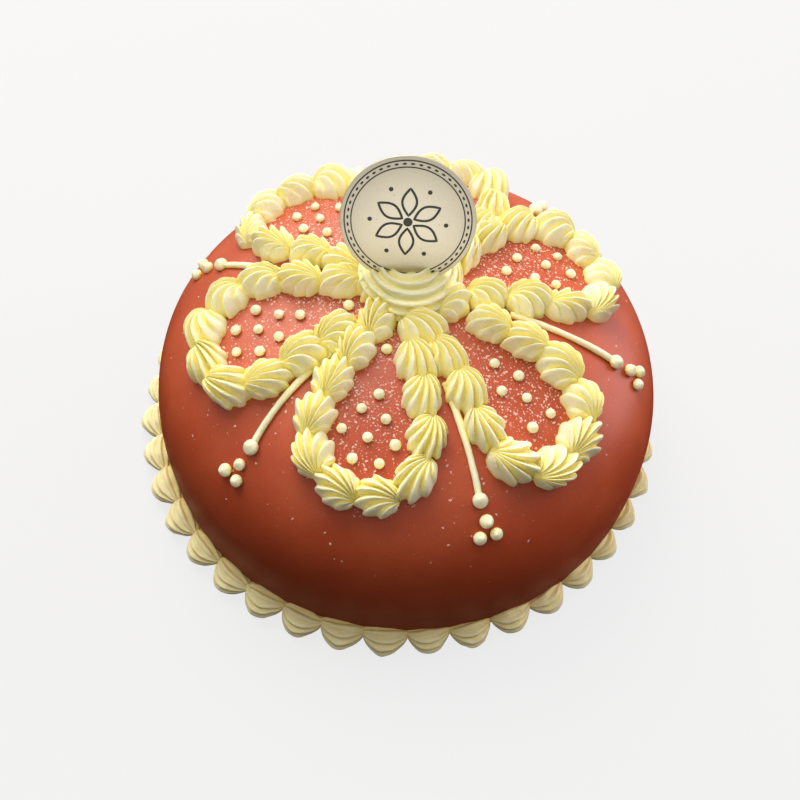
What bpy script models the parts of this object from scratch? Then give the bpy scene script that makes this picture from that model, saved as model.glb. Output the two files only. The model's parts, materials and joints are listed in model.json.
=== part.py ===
"""Princess cake: a marzipan dome with a piped flower, sugar dots, a shell border and a round plaque.

Metres, +Z up. The origin is on the board, at the centre of the shell border. The cake's own axis
stands a little off that centre, as the border was piped round it by hand. The front is -Y.
"""

import math
import random

import bmesh
import bpy
from mathutils import Matrix, Vector

# Cake body: a superellipse turned about its axis
CAKE_RADIUS = 0.100
CAKE_HEIGHT = 0.0716
CAKE_AXIS = Vector((0.0024, 0.0010, 0.0))
PROFILE_SIDE_POWER = 2.752
PROFILE_TOP_POWER = 3.809
CAKE_STEPS = 44
CAKE_RINGS = 12

# Clearance between two pieces that touch
GAP = 0.0003

# Points nearer than this are one point, and edges bent more than this are sharp
MERGE_DISTANCE = 0.000001
SHARP_ANGLE = math.radians(35)

# Piped flower: each petal is a teardrop loop of shells. The columns are the azimuth of the
# petal's tip, how much its middle line bends on the way in to the rosette, both in degrees, how
# far its tip reaches, and its half-widths clockwise and anticlockwise of its middle line.
PETALS = {
    "petal_front": (-101.7, -7.5, 0.0741, 0.0153, 0.0194),
    "petal_right": (-44.3, 7.7, 0.0774, 0.0168, 0.0167),
    "petal_right_back": (24.0, 9.7, 0.0762, 0.0205, 0.0173),
    "petal_back": (82.0, -9.0, 0.0805, 0.0175, 0.0185),
    "petal_left_back": (137.0, -16.0, 0.0787, 0.0200, 0.0207),
    "petal_left": (196.2, -9.6, 0.0751, 0.0172, 0.0205),
}
CLOCKWISE_PETALS = ("petal_right", "petal_right_back", "petal_left")
PETAL_START = 0.0125
PETAL_MOUTH = 0.0080
PETAL_SHELLS = 12
SHELL_LENGTH = 0.0195
SHELL_WIDTH = 0.0156
SHELL_HEIGHT = 0.0092
SHELL_SIZES = (0.95, 1.04)
SHELL_YAW = 6.0

# A petal is widest at this share of the way to its tip
PETAL_WIDEST = 0.75
PETAL_TAPER = 1.5

# The wedge that a petal keeps to: its inner end, and how many points follow each of its sides
WEDGE_START = 0.006
WEDGE_POINTS = 8

# How every piped shell is formed: ridges round it, sections along it, and its lengthwise form
SHELL_RIDGES = 5
SHELL_SECTIONS = 4
GROOVE_DEPTH = 0.20
BULB_BIAS = 0.82
BULB_FULLNESS = 0.75
WIDEST_SHARE = 0.45
SHELL_LIFT = 0.15

# Shell border round the foot of the cake
BORDER_SHELLS = 40
BORDER_RADIUS = 0.1018
BORDER_LENGTH = 0.0215
BORDER_WIDTH = 0.0154
BORDER_HEIGHT = 0.0080
BORDER_SIZES = (0.94, 1.0)

# Sugar dots inside the petals, on a staggered grid
DOT_RADIUS = 0.0021
DOT_HEIGHT = 0.0027
DOT_PITCH_OUT = 0.0080
DOT_PITCH_ACROSS = 0.0092
DOT_FIRST = 0.0235
DOT_JITTER = 0.0010
DOT_COLUMNS = 3
DOT_SIDES = 5
DOT_RINGS = 3
DOT_BODY = 0.62
DOT_LIFT = 0.28
ROPE_CLEARANCE = 0.0100
TIP_CLEARANCE = 0.0105
ROSETTE_CLEARANCE = 0.0030

# Stamens between the petals: a thin piped line, ending in one large dot and three small ones.
# Each pair is the azimuth in degrees of the line's inner and outer end.
STAMENS = (
    (-137.6, -131.5),
    (-68.6, -69.8),
    (-3.7, -10.1),
    (51.0, 51.0),
    (109.0, 109.0),
    (166.0, 164.0),
)
STAMEN_START = 0.042
STAMEN_END = 0.0765
STAMEN_RADIUS = 0.0014
STAMEN_POINTS = 6
STAMEN_RISE = 0.55
STAMEN_TIP_RADIUS = 0.0029
STAMEN_TIP_HEIGHT = 0.0035
STAMEN_DOT_RADIUS = 0.0023
STAMEN_DOT_HEIGHT = 0.0030
STAMEN_DOT_REACHES = (0.0825, 0.0864, 0.0864)
STAMEN_DOT_TURNS = (0.3, -1.9, 1.9)

# Rosette in the flower's middle
ROSETTE_OFFSET = Vector((-0.001, 0.0090, 0.0))
ROSETTE_RADIUS = 0.0200
ROSETTE_HEIGHT = 0.0125
ROSETTE_TURNS = 3
ROSETTE_RIDGE = 0.075
ROSETTE_SIDES = 20
ROSETTE_RINGS = 14

# Plaque pushed into the rosette, leaning back
PLAQUE_DIAMETER = 0.0467
PLAQUE_THICKNESS = 0.0010
PLAQUE_LEAN = math.radians(21.5)
PLAQUE_TURN = math.radians(1.9)
PLAQUE_FOOT = Vector((-0.0013, 0.0030, 0.0800))
PLAQUE_SIDES = 40
PLAQUE_EDGE = 0.0002

MARZIPAN = ((0.42, 0.13, 0.075), 0.42)
BUTTERCREAM = ((0.90, 0.84, 0.50), 0.55)
PLAQUE_CARD = ((0.52, 0.49, 0.40), 0.35)


def clear_scene():
    for obj in list(bpy.data.objects):
        bpy.data.objects.remove(obj, do_unlink=True)


def new_collection(name):
    collection = bpy.data.collections.new(name)
    bpy.context.scene.collection.children.link(collection)
    return collection


def new_material(name, colour, roughness):
    material = bpy.data.materials.new(name)
    material.use_nodes = True
    shader = material.node_tree.nodes["Principled BSDF"]
    shader.inputs["Base Color"].default_value = (*colour, 1.0)
    shader.inputs["Roughness"].default_value = roughness
    shader.inputs["Metallic"].default_value = 0.0
    material.diffuse_color = (*colour, 1.0)
    return material


def object_from_bmesh(name, bm, collection):
    mesh = bpy.data.meshes.new(name)
    bm.to_mesh(mesh)
    bm.free()
    obj = bpy.data.objects.new(name, mesh)
    collection.objects.link(obj)
    return obj


def plain_mesh(obj):
    """The object's evaluated mesh, with doubled points merged."""
    bpy.context.view_layer.update()
    evaluated = obj.evaluated_get(bpy.context.evaluated_depsgraph_get())
    mesh = bpy.data.meshes.new_from_object(evaluated)
    bm = bmesh.new()
    bm.from_mesh(mesh)
    bmesh.ops.remove_doubles(bm, verts=bm.verts, dist=MERGE_DISTANCE)
    bm.to_mesh(mesh)
    bm.free()
    return mesh


def make_mesh_of(obj, collection):
    """A plain mesh object in place of a curve or of an object with modifiers."""
    mesh = plain_mesh(obj)
    name = obj.name
    place = obj.matrix_world.copy()
    bpy.data.objects.remove(obj, do_unlink=True)
    solid = bpy.data.objects.new(name, mesh)
    solid.matrix_world = place
    collection.objects.link(solid)
    return solid


def drop_scraps(obj):
    """Keep only the largest connected body of a cut solid."""
    bm = bmesh.new()
    bm.from_mesh(obj.data)
    left = set(bm.verts)
    bodies = []
    while left:
        reached = {left.pop()}
        edge_of_search = list(reached)
        while edge_of_search:
            vert = edge_of_search.pop()
            for edge in vert.link_edges:
                other = edge.other_vert(vert)
                if other not in reached:
                    reached.add(other)
                    edge_of_search.append(other)
        left -= reached
        bodies.append(reached)
    largest = max(bodies, key=len)
    scraps = [vert for vert in bm.verts if vert not in largest]
    bmesh.ops.delete(bm, geom=scraps, context="VERTS")
    bm.to_mesh(obj.data)
    bm.free()


def hide_cutter(obj):
    obj.hide_render = True
    obj.display_type = "WIRE"


def add_boolean(obj, operation, other):
    boolean = obj.modifiers.new(f"{operation.lower()} {other.name}", "BOOLEAN")
    boolean.operation = operation
    boolean.solver = "EXACT"
    boolean.object = other


def join_solids(name, pieces, collection):
    """One closed solid from overlapping pieces."""
    base = pieces[0]
    others = new_collection(f"{name} pieces")
    for piece in pieces[1:]:
        for owner in list(piece.users_collection):
            owner.objects.unlink(piece)
        others.objects.link(piece)
    union = base.modifiers.new("join", "BOOLEAN")
    union.operation = "UNION"
    union.solver = "EXACT"
    union.operand_type = "COLLECTION"
    union.collection = others
    base.name = name
    solid = make_mesh_of(base, collection)
    for piece in list(others.objects):
        bpy.data.objects.remove(piece, do_unlink=True)
    bpy.data.collections.remove(others)
    return solid


def dress(obj, material):
    obj.data.materials.clear()
    obj.data.materials.append(material)
    obj.data.shade_smooth()
    obj.data.set_sharp_from_angle(angle=SHARP_ANGLE)


def cake_surface_height(radius):
    """Height of the marzipan surface at a distance from the cake's axis."""
    share = min(radius / CAKE_RADIUS, 1.0)
    return CAKE_HEIGHT * (1.0 - share**PROFILE_SIDE_POWER) ** (1.0 / PROFILE_TOP_POWER)


def cake_point(across, outward):
    """A point on the marzipan surface and the outward normal there, from a plan position."""
    radius = math.hypot(across, outward)
    height = cake_surface_height(radius)
    side = PROFILE_SIDE_POWER * (radius / CAKE_RADIUS) ** (PROFILE_SIDE_POWER - 1) / CAKE_RADIUS
    top = PROFILE_TOP_POWER * (height / CAKE_HEIGHT) ** (PROFILE_TOP_POWER - 1) / CAKE_HEIGHT
    share = 1.0 / max(radius, 1e-9)
    normal = Vector((across * share * side, outward * share * side, top)).normalized()
    return CAKE_AXIS + Vector((across, outward, height)), normal


def polar(radius, azimuth):
    """Plan position about the cake's axis, from a radius and an azimuth in degrees."""
    angle = math.radians(azimuth)
    return radius * math.cos(angle), radius * math.sin(angle)


def frame_at(point, normal, travel):
    """A matrix whose X runs along the travel direction and whose Z is the normal."""
    z_axis = normal.normalized()
    y_axis = z_axis.cross(travel).normalized()
    x_axis = y_axis.cross(z_axis)
    turn = Matrix((x_axis, y_axis, z_axis)).transposed()
    return Matrix.Translation(point) @ turn.to_4x4()


def make_cake_body(name, grown, collection):
    """The dome, turned from its half-profile, or the same dome grown all over."""
    bm = bmesh.new()
    points = []
    for ring in range(CAKE_RINGS + 1):
        angle = math.pi / 2 * (1 - ring / CAKE_RINGS)
        radius = (CAKE_RADIUS + grown) * max(math.cos(angle), 0.0) ** (2 / PROFILE_SIDE_POWER)
        height = (CAKE_HEIGHT + grown) * math.sin(angle) ** (2 / PROFILE_TOP_POWER)
        points.append((0.0 if ring == 0 else radius, height))
    if grown:
        points.append((CAKE_RADIUS + grown, -CAKE_HEIGHT))
        points.append((0.0, -CAKE_HEIGHT))
    else:
        points.append((0.0, 0.0))
    verts = [bm.verts.new((radius, 0.0, height)) for radius, height in points]
    for upper, lower in zip(verts, verts[1:]):
        bm.edges.new((upper, lower))
    body = object_from_bmesh(name, bm, collection)
    body.location = CAKE_AXIS
    turned = body.modifiers.new("turn", "SCREW")
    turned.steps = CAKE_STEPS
    turned.render_steps = CAKE_STEPS
    turned.use_merge_vertices = True
    turned.merge_threshold = MERGE_DISTANCE
    return make_mesh_of(body, collection)


def make_shell(name, length, width, height, collection):
    """One piped shell along X: a round bulb at -X, a tail at +X, ridges from end to end.

    It starts as a sphere whose poles are the two ends. Every other meridian is a groove, and a
    ridge runs along each side.
    """
    bm = bmesh.new()
    bmesh.ops.create_uvsphere(
        bm, u_segments=2 * SHELL_RIDGES, v_segments=SHELL_SECTIONS, radius=1.0
    )
    for vert in bm.verts:
        along = min(max((1.0 - vert.co.z) / 2, 0.0), 1.0)
        meridian = round(math.atan2(vert.co.y, vert.co.x) / math.pi * SHELL_RIDGES)
        girth = max(math.sin(math.pi * along**BULB_BIAS), 0.0) ** BULB_FULLNESS
        if meridian % 2 == 0:
            girth *= 1.0 - GROOVE_DEPTH
        turn = meridian * math.pi / SHELL_RIDGES
        vert.co = Vector((
            length * (along - WIDEST_SHARE),
            width / 2 * girth * math.sin(turn),
            height * (girth * math.cos(turn) + SHELL_LIFT),
        ))
    bmesh.ops.recalc_face_normals(bm, faces=bm.faces)
    return object_from_bmesh(name, bm, collection)


def place(obj, matrix, scale):
    """Bake a place and a size into the object's mesh."""
    obj.data.transform(matrix @ Matrix.Scale(scale, 4))
    obj.data.update()


def petal_share(petal, radius):
    """How far along a petal a radius lies, from 0 at its start to 1 at its tip."""
    reach = PETALS[petal][2]
    return min(max((radius - PETAL_START) / (reach - PETAL_START), 0.0), 1.0)


def petal_azimuth(petal, share):
    """Azimuth of the petal's middle line in degrees, which bends on the way in."""
    azimuth, bend = PETALS[petal][:2]
    return azimuth + bend * (1.0 - share)


def petal_sides(petal, share):
    """How far the loop's clockwise and anticlockwise sides lie from the middle line."""
    half_clockwise, half_anticlockwise = PETALS[petal][3:]
    taper = PETAL_TAPER / PETAL_WIDEST - PETAL_TAPER
    widest = PETAL_WIDEST**PETAL_TAPER * (1.0 - PETAL_WIDEST) ** taper
    width = share**PETAL_TAPER * max(1.0 - share, 0.0) ** taper / widest
    mouth = PETAL_MOUTH * (1.0 - share)
    return half_clockwise * width + mouth, half_anticlockwise * width + mouth


def petal_spot(petal, out, across):
    """Plan position of a point along and across a petal."""
    turned = math.radians(petal_azimuth(petal, petal_share(petal, out)))
    x = out * math.cos(turned) - across * math.sin(turned)
    y = out * math.sin(turned) + across * math.cos(turned)
    return x, y


def petal_plan(petal, turn):
    """A plan point of the petal's loop, for a turn from 0 (start) through 1 (tip) to 2."""
    share = math.sin(turn * math.pi / 2) ** 2
    out = PETAL_START + (PETALS[petal][2] - PETAL_START) * share
    clockwise, anticlockwise = petal_sides(petal, share)
    return petal_spot(petal, out, -clockwise if turn < 1.0 else anticlockwise)


def even_stations(path, count, samples=400):
    """Turns at equal steps of length along a path."""
    turns = [2.0 * step / samples for step in range(samples + 1)]
    points = [path(turn) for turn in turns]
    lengths = [0.0]
    for (x0, y0), (x1, y1) in zip(points, points[1:]):
        lengths.append(lengths[-1] + math.hypot(x1 - x0, y1 - y0))
    found = []
    step = 0
    for index in range(count):
        wanted = lengths[-1] * index / (count - 1)
        while step < samples and lengths[step] < wanted:
            step += 1
        found.append(turns[step])
    return found


def make_petal(petal, cutters, collection):
    """A teardrop loop of overlapping shells, cut to sit on the cake between its neighbours."""
    draw = random.Random(petal)
    clockwise = petal in CLOCKWISE_PETALS

    def path(turn):
        return petal_plan(petal, 2.0 - turn if clockwise else turn)

    shells = []
    for turn in even_stations(path, PETAL_SHELLS):
        x, y = path(turn)
        ahead_x, ahead_y = path(min(turn + 0.02, 2.0))
        behind_x, behind_y = path(max(turn - 0.02, 0.0))
        point, normal = cake_point(x, y)
        travel = Vector((ahead_x - behind_x, ahead_y - behind_y, 0.0))
        yaw = math.radians(draw.uniform(-SHELL_YAW, SHELL_YAW))
        travel.rotate(Matrix.Rotation(yaw, 3, "Z"))
        shell = make_shell(
            f"{petal} shell", SHELL_LENGTH, SHELL_WIDTH, SHELL_HEIGHT, collection
        )
        place(shell, frame_at(point, normal, travel), draw.uniform(*SHELL_SIZES))
        shells.append(shell)
    solid = join_solids(petal, shells, collection)
    for operation, cutter in cutters:
        add_boolean(solid, operation, cutter)
    solid = make_mesh_of(solid, collection)
    drop_scraps(solid)
    return solid


def divide_azimuth(first, second, radius):
    """Azimuth in radians halfway between two neighbouring petals, at a radius."""
    low, high = (petal_azimuth(petal, petal_share(petal, radius)) for petal in (first, second))
    if high < low:
        high += 360
    return math.radians(low + high) / 2


def make_wedge(before, petal, after, collection):
    """A tall wedge about the cake's axis that holds one petal, half a gap inside each side."""
    outer = PETALS[petal][2]
    step = (outer - WEDGE_START) / (WEDGE_POINTS - 2)
    radii = [WEDGE_START + step * index for index in range(WEDGE_POINTS - 1)] + [2 * CAKE_RADIUS]
    low_side = []
    high_side = []
    for radius in radii:
        clearance = GAP / 2 / radius
        low = divide_azimuth(before, petal, radius) + clearance
        high = divide_azimuth(petal, after, radius) - clearance
        low_side.append((radius * math.cos(low), radius * math.sin(low)))
        high_side.append((radius * math.cos(high), radius * math.sin(high)))
    corners = low_side + high_side[::-1]
    curve = bpy.data.curves.new(f"{petal} room", "CURVE")
    curve.dimensions = "2D"
    curve.fill_mode = "BOTH"
    curve.extrude = CAKE_HEIGHT
    outline = curve.splines.new("POLY")
    outline.points.add(len(corners) - 1)
    outline.use_cyclic_u = True
    for point, (x, y) in zip(outline.points, corners):
        point.co = (x, y, 0.0, 1.0)
    wedge = bpy.data.objects.new(f"{petal} room", curve)
    wedge.location = CAKE_AXIS + Vector((0.0, 0.0, CAKE_HEIGHT))
    collection.objects.link(wedge)
    solid = make_mesh_of(wedge, collection)
    hide_cutter(solid)
    return solid


def stamen_azimuth(stamen, share):
    """Azimuth along a stamen's line, in degrees, for a share from its inner to its outer end."""
    inner, outer = STAMENS[stamen]
    return inner + (outer - inner) * share


def make_stamen_line(name, stamen, radius, collection):
    """The thin piped line, a tube that lies on the marzipan."""
    curve = bpy.data.curves.new(name, "CURVE")
    curve.dimensions = "3D"
    curve.bevel_depth = radius
    curve.bevel_resolution = 1
    curve.use_fill_caps = True
    line = curve.splines.new("POLY")
    line.points.add(STAMEN_POINTS - 1)
    for index, knot in enumerate(line.points):
        share = index / (STAMEN_POINTS - 1)
        reach = STAMEN_START + (STAMEN_END - STAMEN_START) * share
        point, normal = cake_point(*polar(reach, stamen_azimuth(stamen, share)))
        knot.co = (*(point + normal * STAMEN_RADIUS * STAMEN_RISE), 1.0)
    tube = bpy.data.objects.new(name, curve)
    collection.objects.link(tube)
    return make_mesh_of(tube, collection)


def make_dot(name, radius, height, plan, collection):
    """A drop of piped cream that stands on the marzipan and ends in a small peak."""
    bm = bmesh.new()
    bmesh.ops.create_uvsphere(bm, u_segments=DOT_SIDES, v_segments=DOT_RINGS, radius=1.0)
    point, normal = cake_point(*plan)
    top = max(vert.co.z for vert in bm.verts)
    for vert in bm.verts:
        rise = vert.co.z * DOT_BODY + DOT_LIFT
        if vert.co.z == top:
            rise = 1.0
        vert.co = Vector((vert.co.x * radius, vert.co.y * radius, rise * height))
    dot = object_from_bmesh(name, bm, collection)
    place(dot, frame_at(point, normal, Vector((1.0, 0.0, 0.0))), 1.0)
    return dot


def petal_dot_plans(petal):
    """Plan positions of a petal's dots: a staggered grid inside its loop, set down by hand."""
    draw = random.Random(f"{petal} dots")
    plans = []
    row = 0
    out = DOT_FIRST
    while out < PETALS[petal][2] - TIP_CLEARANCE:
        clockwise, anticlockwise = petal_sides(petal, petal_share(petal, out))
        low = ROPE_CLEARANCE - clockwise
        high = anticlockwise - ROPE_CLEARANCE
        for column in range(-DOT_COLUMNS, DOT_COLUMNS + 1):
            across = (column + 0.5 * (row % 2)) * DOT_PITCH_ACROSS + (high + low) / 2
            if not low <= across <= high:
                continue
            along = out + draw.uniform(-DOT_JITTER, DOT_JITTER)
            aside = across + draw.uniform(-DOT_JITTER, DOT_JITTER)
            spot = petal_spot(petal, along, aside)
            if (Vector(spot) - ROSETTE_OFFSET.xy).length > ROSETTE_RADIUS + ROSETTE_CLEARANCE:
                plans.append(spot)
        out += DOT_PITCH_OUT
        row += 1
    return plans


def make_cake(collection):
    """The marzipan dome with every dot and stamen fused to it."""
    pieces = [make_cake_body("cake", 0.0, collection)]
    for petal in PETALS:
        for plan in petal_dot_plans(petal):
            pieces.append(make_dot("dot", DOT_RADIUS, DOT_HEIGHT, plan, collection))
    for stamen in range(len(STAMENS)):
        pieces.append(make_stamen_line("stamen", stamen, STAMEN_RADIUS, collection))
        end = stamen_azimuth(stamen, 1.0)
        tip = polar(STAMEN_END, end)
        pieces.append(make_dot("tip", STAMEN_TIP_RADIUS, STAMEN_TIP_HEIGHT, tip, collection))
        for reach, turn in zip(STAMEN_DOT_REACHES, STAMEN_DOT_TURNS):
            spot = polar(reach, end + turn)
            pieces.append(
                make_dot("bead", STAMEN_DOT_RADIUS, STAMEN_DOT_HEIGHT, spot, collection)
            )
    return join_solids("cake", pieces, collection)


def make_border(cutters, collection):
    """A ring of overlapping shells round the foot of the cake, flat underneath."""
    draw = random.Random("border")
    quarter = BORDER_SHELLS // 4
    shells = []
    for index in range(BORDER_SHELLS):
        angle = 2 * math.pi * index / BORDER_SHELLS
        size = BORDER_SIZES[1] if index % quarter == 0 else draw.uniform(*BORDER_SIZES)
        out = Vector((math.cos(angle), math.sin(angle), 0.0))
        travel = Vector((-math.sin(angle), math.cos(angle), 0.0))
        shell = make_shell(
            "border shell", BORDER_LENGTH, BORDER_WIDTH, BORDER_HEIGHT, collection
        )
        place(shell, frame_at(out * BORDER_RADIUS, Vector((0.0, 0.0, 1.0)), travel), size)
        shells.append(shell)
    solid = join_solids("border", shells, collection)
    for operation, cutter in cutters:
        add_boolean(solid, operation, cutter)
    solid = make_mesh_of(solid, collection)
    drop_scraps(solid)
    return solid


def make_rosette(name, grown, collection):
    """A low swirl of cream: a squashed ball whose ridge climbs as a spiral, or its plain clearance."""
    bm = bmesh.new()
    bmesh.ops.create_uvsphere(bm, u_segments=ROSETTE_SIDES, v_segments=ROSETTE_RINGS, radius=1.0)
    for vert in bm.verts:
        angle = math.atan2(vert.co.y, vert.co.x)
        level = math.acos(max(-1.0, min(1.0, vert.co.z))) / math.pi
        fade = math.sin(math.pi * level)
        ridge = math.cos(2 * math.pi * 2 * ROSETTE_TURNS * level - angle)
        swell = 1.0 + (ROSETTE_RIDGE if grown else ROSETTE_RIDGE * fade * ridge)
        radius = (ROSETTE_RADIUS * (1 - ROSETTE_RIDGE) * swell) + grown
        vert.co = Vector((
            vert.co.x * radius,
            vert.co.y * radius,
            vert.co.z * (ROSETTE_HEIGHT * swell + grown),
        ))
    rosette = object_from_bmesh(name, bm, collection)
    lift = Vector((0.0, 0.0, CAKE_HEIGHT))
    rosette.data.transform(Matrix.Translation(CAKE_AXIS + ROSETTE_OFFSET + lift))
    return rosette


def plaque_matrix():
    """The disc's place: its Z runs out of its face, and its lowest point is the foot."""
    lean = Matrix.Rotation(math.pi / 2 - PLAQUE_LEAN, 4, "X")
    spin = Matrix.Rotation(-PLAQUE_TURN, 4, "Z")
    rise = Vector((0.0, math.sin(PLAQUE_LEAN), math.cos(PLAQUE_LEAN))) * (PLAQUE_DIAMETER / 2)
    return Matrix.Translation(CAKE_AXIS + PLAQUE_FOOT + rise) @ lean @ spin


def make_plaque(name, grown, collection):
    """The round plaque, or the same disc grown all over."""
    bm = bmesh.new()
    bmesh.ops.create_cone(
        bm,
        cap_ends=True,
        segments=PLAQUE_SIDES,
        radius1=PLAQUE_DIAMETER / 2 + grown,
        radius2=PLAQUE_DIAMETER / 2 + grown,
        depth=PLAQUE_THICKNESS + 2 * grown,
    )
    plaque = object_from_bmesh(name, bm, collection)
    if not grown:
        edge = plaque.modifiers.new("edge", "BEVEL")
        edge.width = PLAQUE_EDGE
        edge.segments = 1
    plaque.matrix_world = plaque_matrix()
    return plaque


def make_board_cutter(collection):
    """A slab under the board's plane, which makes the foot of the border flat."""
    bm = bmesh.new()
    bmesh.ops.create_cube(bm, size=1.0)
    slab = object_from_bmesh("board plane", bm, collection)
    side = 4 * CAKE_RADIUS
    slab.data.transform(Matrix.Diagonal((side, side, CAKE_RADIUS, 1.0)))
    slab.data.transform(Matrix.Translation((0.0, 0.0, -CAKE_RADIUS / 2)))
    return slab


def main():
    clear_scene()
    parts = new_collection("princess cake")
    cutters = new_collection("cutters")
    marzipan = new_material("marzipan", *MARZIPAN)
    cream = new_material("buttercream", *BUTTERCREAM)
    card = new_material("plaque", *PLAQUE_CARD)

    cake = make_cake(parts)
    dress(cake, marzipan)

    cake_room = make_cake_body("cake room", GAP, cutters)
    rosette_room = make_rosette("rosette room", GAP, cutters)
    plaque_room = make_plaque("plaque room", GAP, cutters)
    board = make_board_cutter(cutters)
    stamen_rooms = [
        make_stamen_line(f"stamen room {index}", index, STAMEN_RADIUS + GAP, cutters)
        for index in range(len(STAMENS))
    ]
    for cutter in (cake_room, rosette_room, plaque_room, board, *stamen_rooms):
        hide_cutter(cutter)

    names = list(PETALS)
    for index, petal in enumerate(names):
        wedge = make_wedge(names[index - 1], petal, names[(index + 1) % len(names)], cutters)
        tools = [("INTERSECT", wedge), ("DIFFERENCE", cake_room), ("DIFFERENCE", rosette_room)]
        tools += [("DIFFERENCE", plaque_room)]
        tools += [("DIFFERENCE", room) for room in stamen_rooms]
        dress(make_petal(petal, tools, parts), cream)

    border = make_border([("DIFFERENCE", cake_room), ("DIFFERENCE", board)], parts)
    dress(border, cream)

    rosette = make_rosette("rosette", 0.0, parts)
    add_boolean(rosette, "DIFFERENCE", cake_room)
    add_boolean(rosette, "DIFFERENCE", plaque_room)
    dress(rosette, cream)

    plaque = make_plaque("plaque", 0.0, parts)
    dress(plaque, card)


main()
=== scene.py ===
"""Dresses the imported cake: satin marzipan, piped buttercream, sugar dots and dust, and a printed plaque.

The file is laid out as an add-on. Run as a script, it registers its operators, calls each in turn
and renders nothing itself. Every length is in metres unless a property says otherwise.
"""

import json
import math
import random

import bmesh
import bpy
import numpy as np
from bpy.props import FloatProperty, FloatVectorProperty, IntProperty, PointerProperty
from mathutils import Matrix, Vector, noise

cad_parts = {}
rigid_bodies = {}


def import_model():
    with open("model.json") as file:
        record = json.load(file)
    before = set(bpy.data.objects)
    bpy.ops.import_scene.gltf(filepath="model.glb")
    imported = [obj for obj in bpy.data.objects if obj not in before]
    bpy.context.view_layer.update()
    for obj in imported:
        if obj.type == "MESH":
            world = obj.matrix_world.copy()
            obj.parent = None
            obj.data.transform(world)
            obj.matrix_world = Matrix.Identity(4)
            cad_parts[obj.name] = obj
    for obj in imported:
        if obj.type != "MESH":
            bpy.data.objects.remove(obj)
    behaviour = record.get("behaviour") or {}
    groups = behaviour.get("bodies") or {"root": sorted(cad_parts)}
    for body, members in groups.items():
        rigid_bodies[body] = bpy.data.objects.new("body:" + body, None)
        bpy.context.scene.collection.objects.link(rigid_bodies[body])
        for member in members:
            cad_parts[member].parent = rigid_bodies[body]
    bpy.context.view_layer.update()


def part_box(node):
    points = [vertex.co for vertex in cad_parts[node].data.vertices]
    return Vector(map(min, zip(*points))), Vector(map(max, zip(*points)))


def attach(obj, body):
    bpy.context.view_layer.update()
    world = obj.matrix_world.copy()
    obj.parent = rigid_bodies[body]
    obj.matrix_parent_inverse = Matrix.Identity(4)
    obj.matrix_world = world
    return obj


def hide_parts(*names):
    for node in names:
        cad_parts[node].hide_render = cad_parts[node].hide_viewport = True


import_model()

bl_info = {
    "name": "Princess Cake",
    "version": (1, 0, 0),
    "blender": (4, 5, 0),
    "location": "View3D > Sidebar > Cake",
    "description": "Builds a marzipan cake with a piped flower, sugar dots, a border and a plaque",
    "category": "Add Mesh",
}

CAKE_LOW, CAKE_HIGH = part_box("cake")
CAKE_AXIS = Vector(((CAKE_LOW[0] + CAKE_HIGH[0]) / 2, (CAKE_LOW[1] + CAKE_HIGH[1]) / 2, 0.0))
CAKE_RADIUS = (CAKE_HIGH[0] - CAKE_LOW[0]) / 2

# The marzipan's profile is a superellipse, as in the solids
CAKE_HEIGHT = 0.716 * CAKE_RADIUS
PROFILE_SIDE_POWER = 2.752
PROFILE_TOP_POWER = 3.809

# Each petal: azimuth of its tip and how its middle line bends inwards, both in degrees, then the
# reach of its tip and its half-widths clockwise and anticlockwise
PETALS = {
    "petal_front": (-101.7, -7.5, 0.0741, 0.0153, 0.0194),
    "petal_right": (-44.3, 7.7, 0.0774, 0.0168, 0.0167),
    "petal_right_back": (24.0, 9.7, 0.0762, 0.0205, 0.0173),
    "petal_back": (82.0, -9.0, 0.0805, 0.0175, 0.0185),
    "petal_left_back": (137.0, -16.0, 0.0787, 0.0200, 0.0207),
    "petal_left": (196.2, -9.6, 0.0751, 0.0172, 0.0205),
}
CLOCKWISE_PETALS = ("petal_right", "petal_right_back", "petal_left")
PETAL_START = 0.0125
PETAL_MOUTH = 0.0080
PETAL_WIDEST = 0.75
PETAL_TAPER = 1.5

# Stamens: azimuth in degrees of each line's inner and outer end
STAMENS = (
    (-137.6, -131.5),
    (-68.6, -69.8),
    (-3.7, -10.1),
    (51.0, 51.0),
    (109.0, 109.0),
    (166.0, 164.0),
)
STAMEN_START = 0.036
STAMEN_END = 0.0765
STAMEN_DOT_REACHES = (0.0825, 0.0864, 0.0864)
STAMEN_DOT_TURNS = (0.3, -1.9, 1.9)

# Sugar dots, on the same staggered grid as in the solids
DOT_PITCH_OUT = 0.0080
DOT_PITCH_ACROSS = 0.0092
DOT_FIRST = 0.0235
DOT_JITTER = 0.0010
DOT_COLUMNS = 3
ROPE_CLEARANCE = 0.0100
TIP_CLEARANCE = 0.0105
ROSETTE_CLEARANCE = 0.0030

ROSETTE_OFFSET = Vector((-0.001, 0.0090, 0.0))
ROSETTE_RADIUS = 0.0200
NOISE_SEED = 7
PLAQUE_LEAN = math.radians(21.5)
PLAQUE_TURN = math.radians(1.9)
PLAQUE_FOOT = Vector((-0.0027, 0.0030, 0.0794))
DISC_SEGMENTS = 160
DISC_BEVEL = 0.00022
PRINT_PROUD = 0.00004
RING_SEGMENTS = 128
BEAD_SEGMENTS = 12

# Template shapes: how many of each kind there are, and how finely ridges are drawn
SHELL_KINDS = 9
BORDER_KINDS = 8
DROP_KINDS = 7
FLECK_KINDS = 10
POINTS_PER_RIDGE = 8
SECTION_POINTS_PER_RIDGE = 9

# Piping: how far a shell's underside lies below its place, the least random size of a shell, how
# far the cream's painted groove shade looks for a groove's walls, how deep surface bumps are at most,
# and the height at which the border is cut level
SHELL_SINK = 0.0026
SMALLEST_SHELL = 0.97
GROOVE_SHADE_REACH = 0.004
BUMP_DISTANCE = 0.0004
BORDER_CUT = 0.0002

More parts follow.
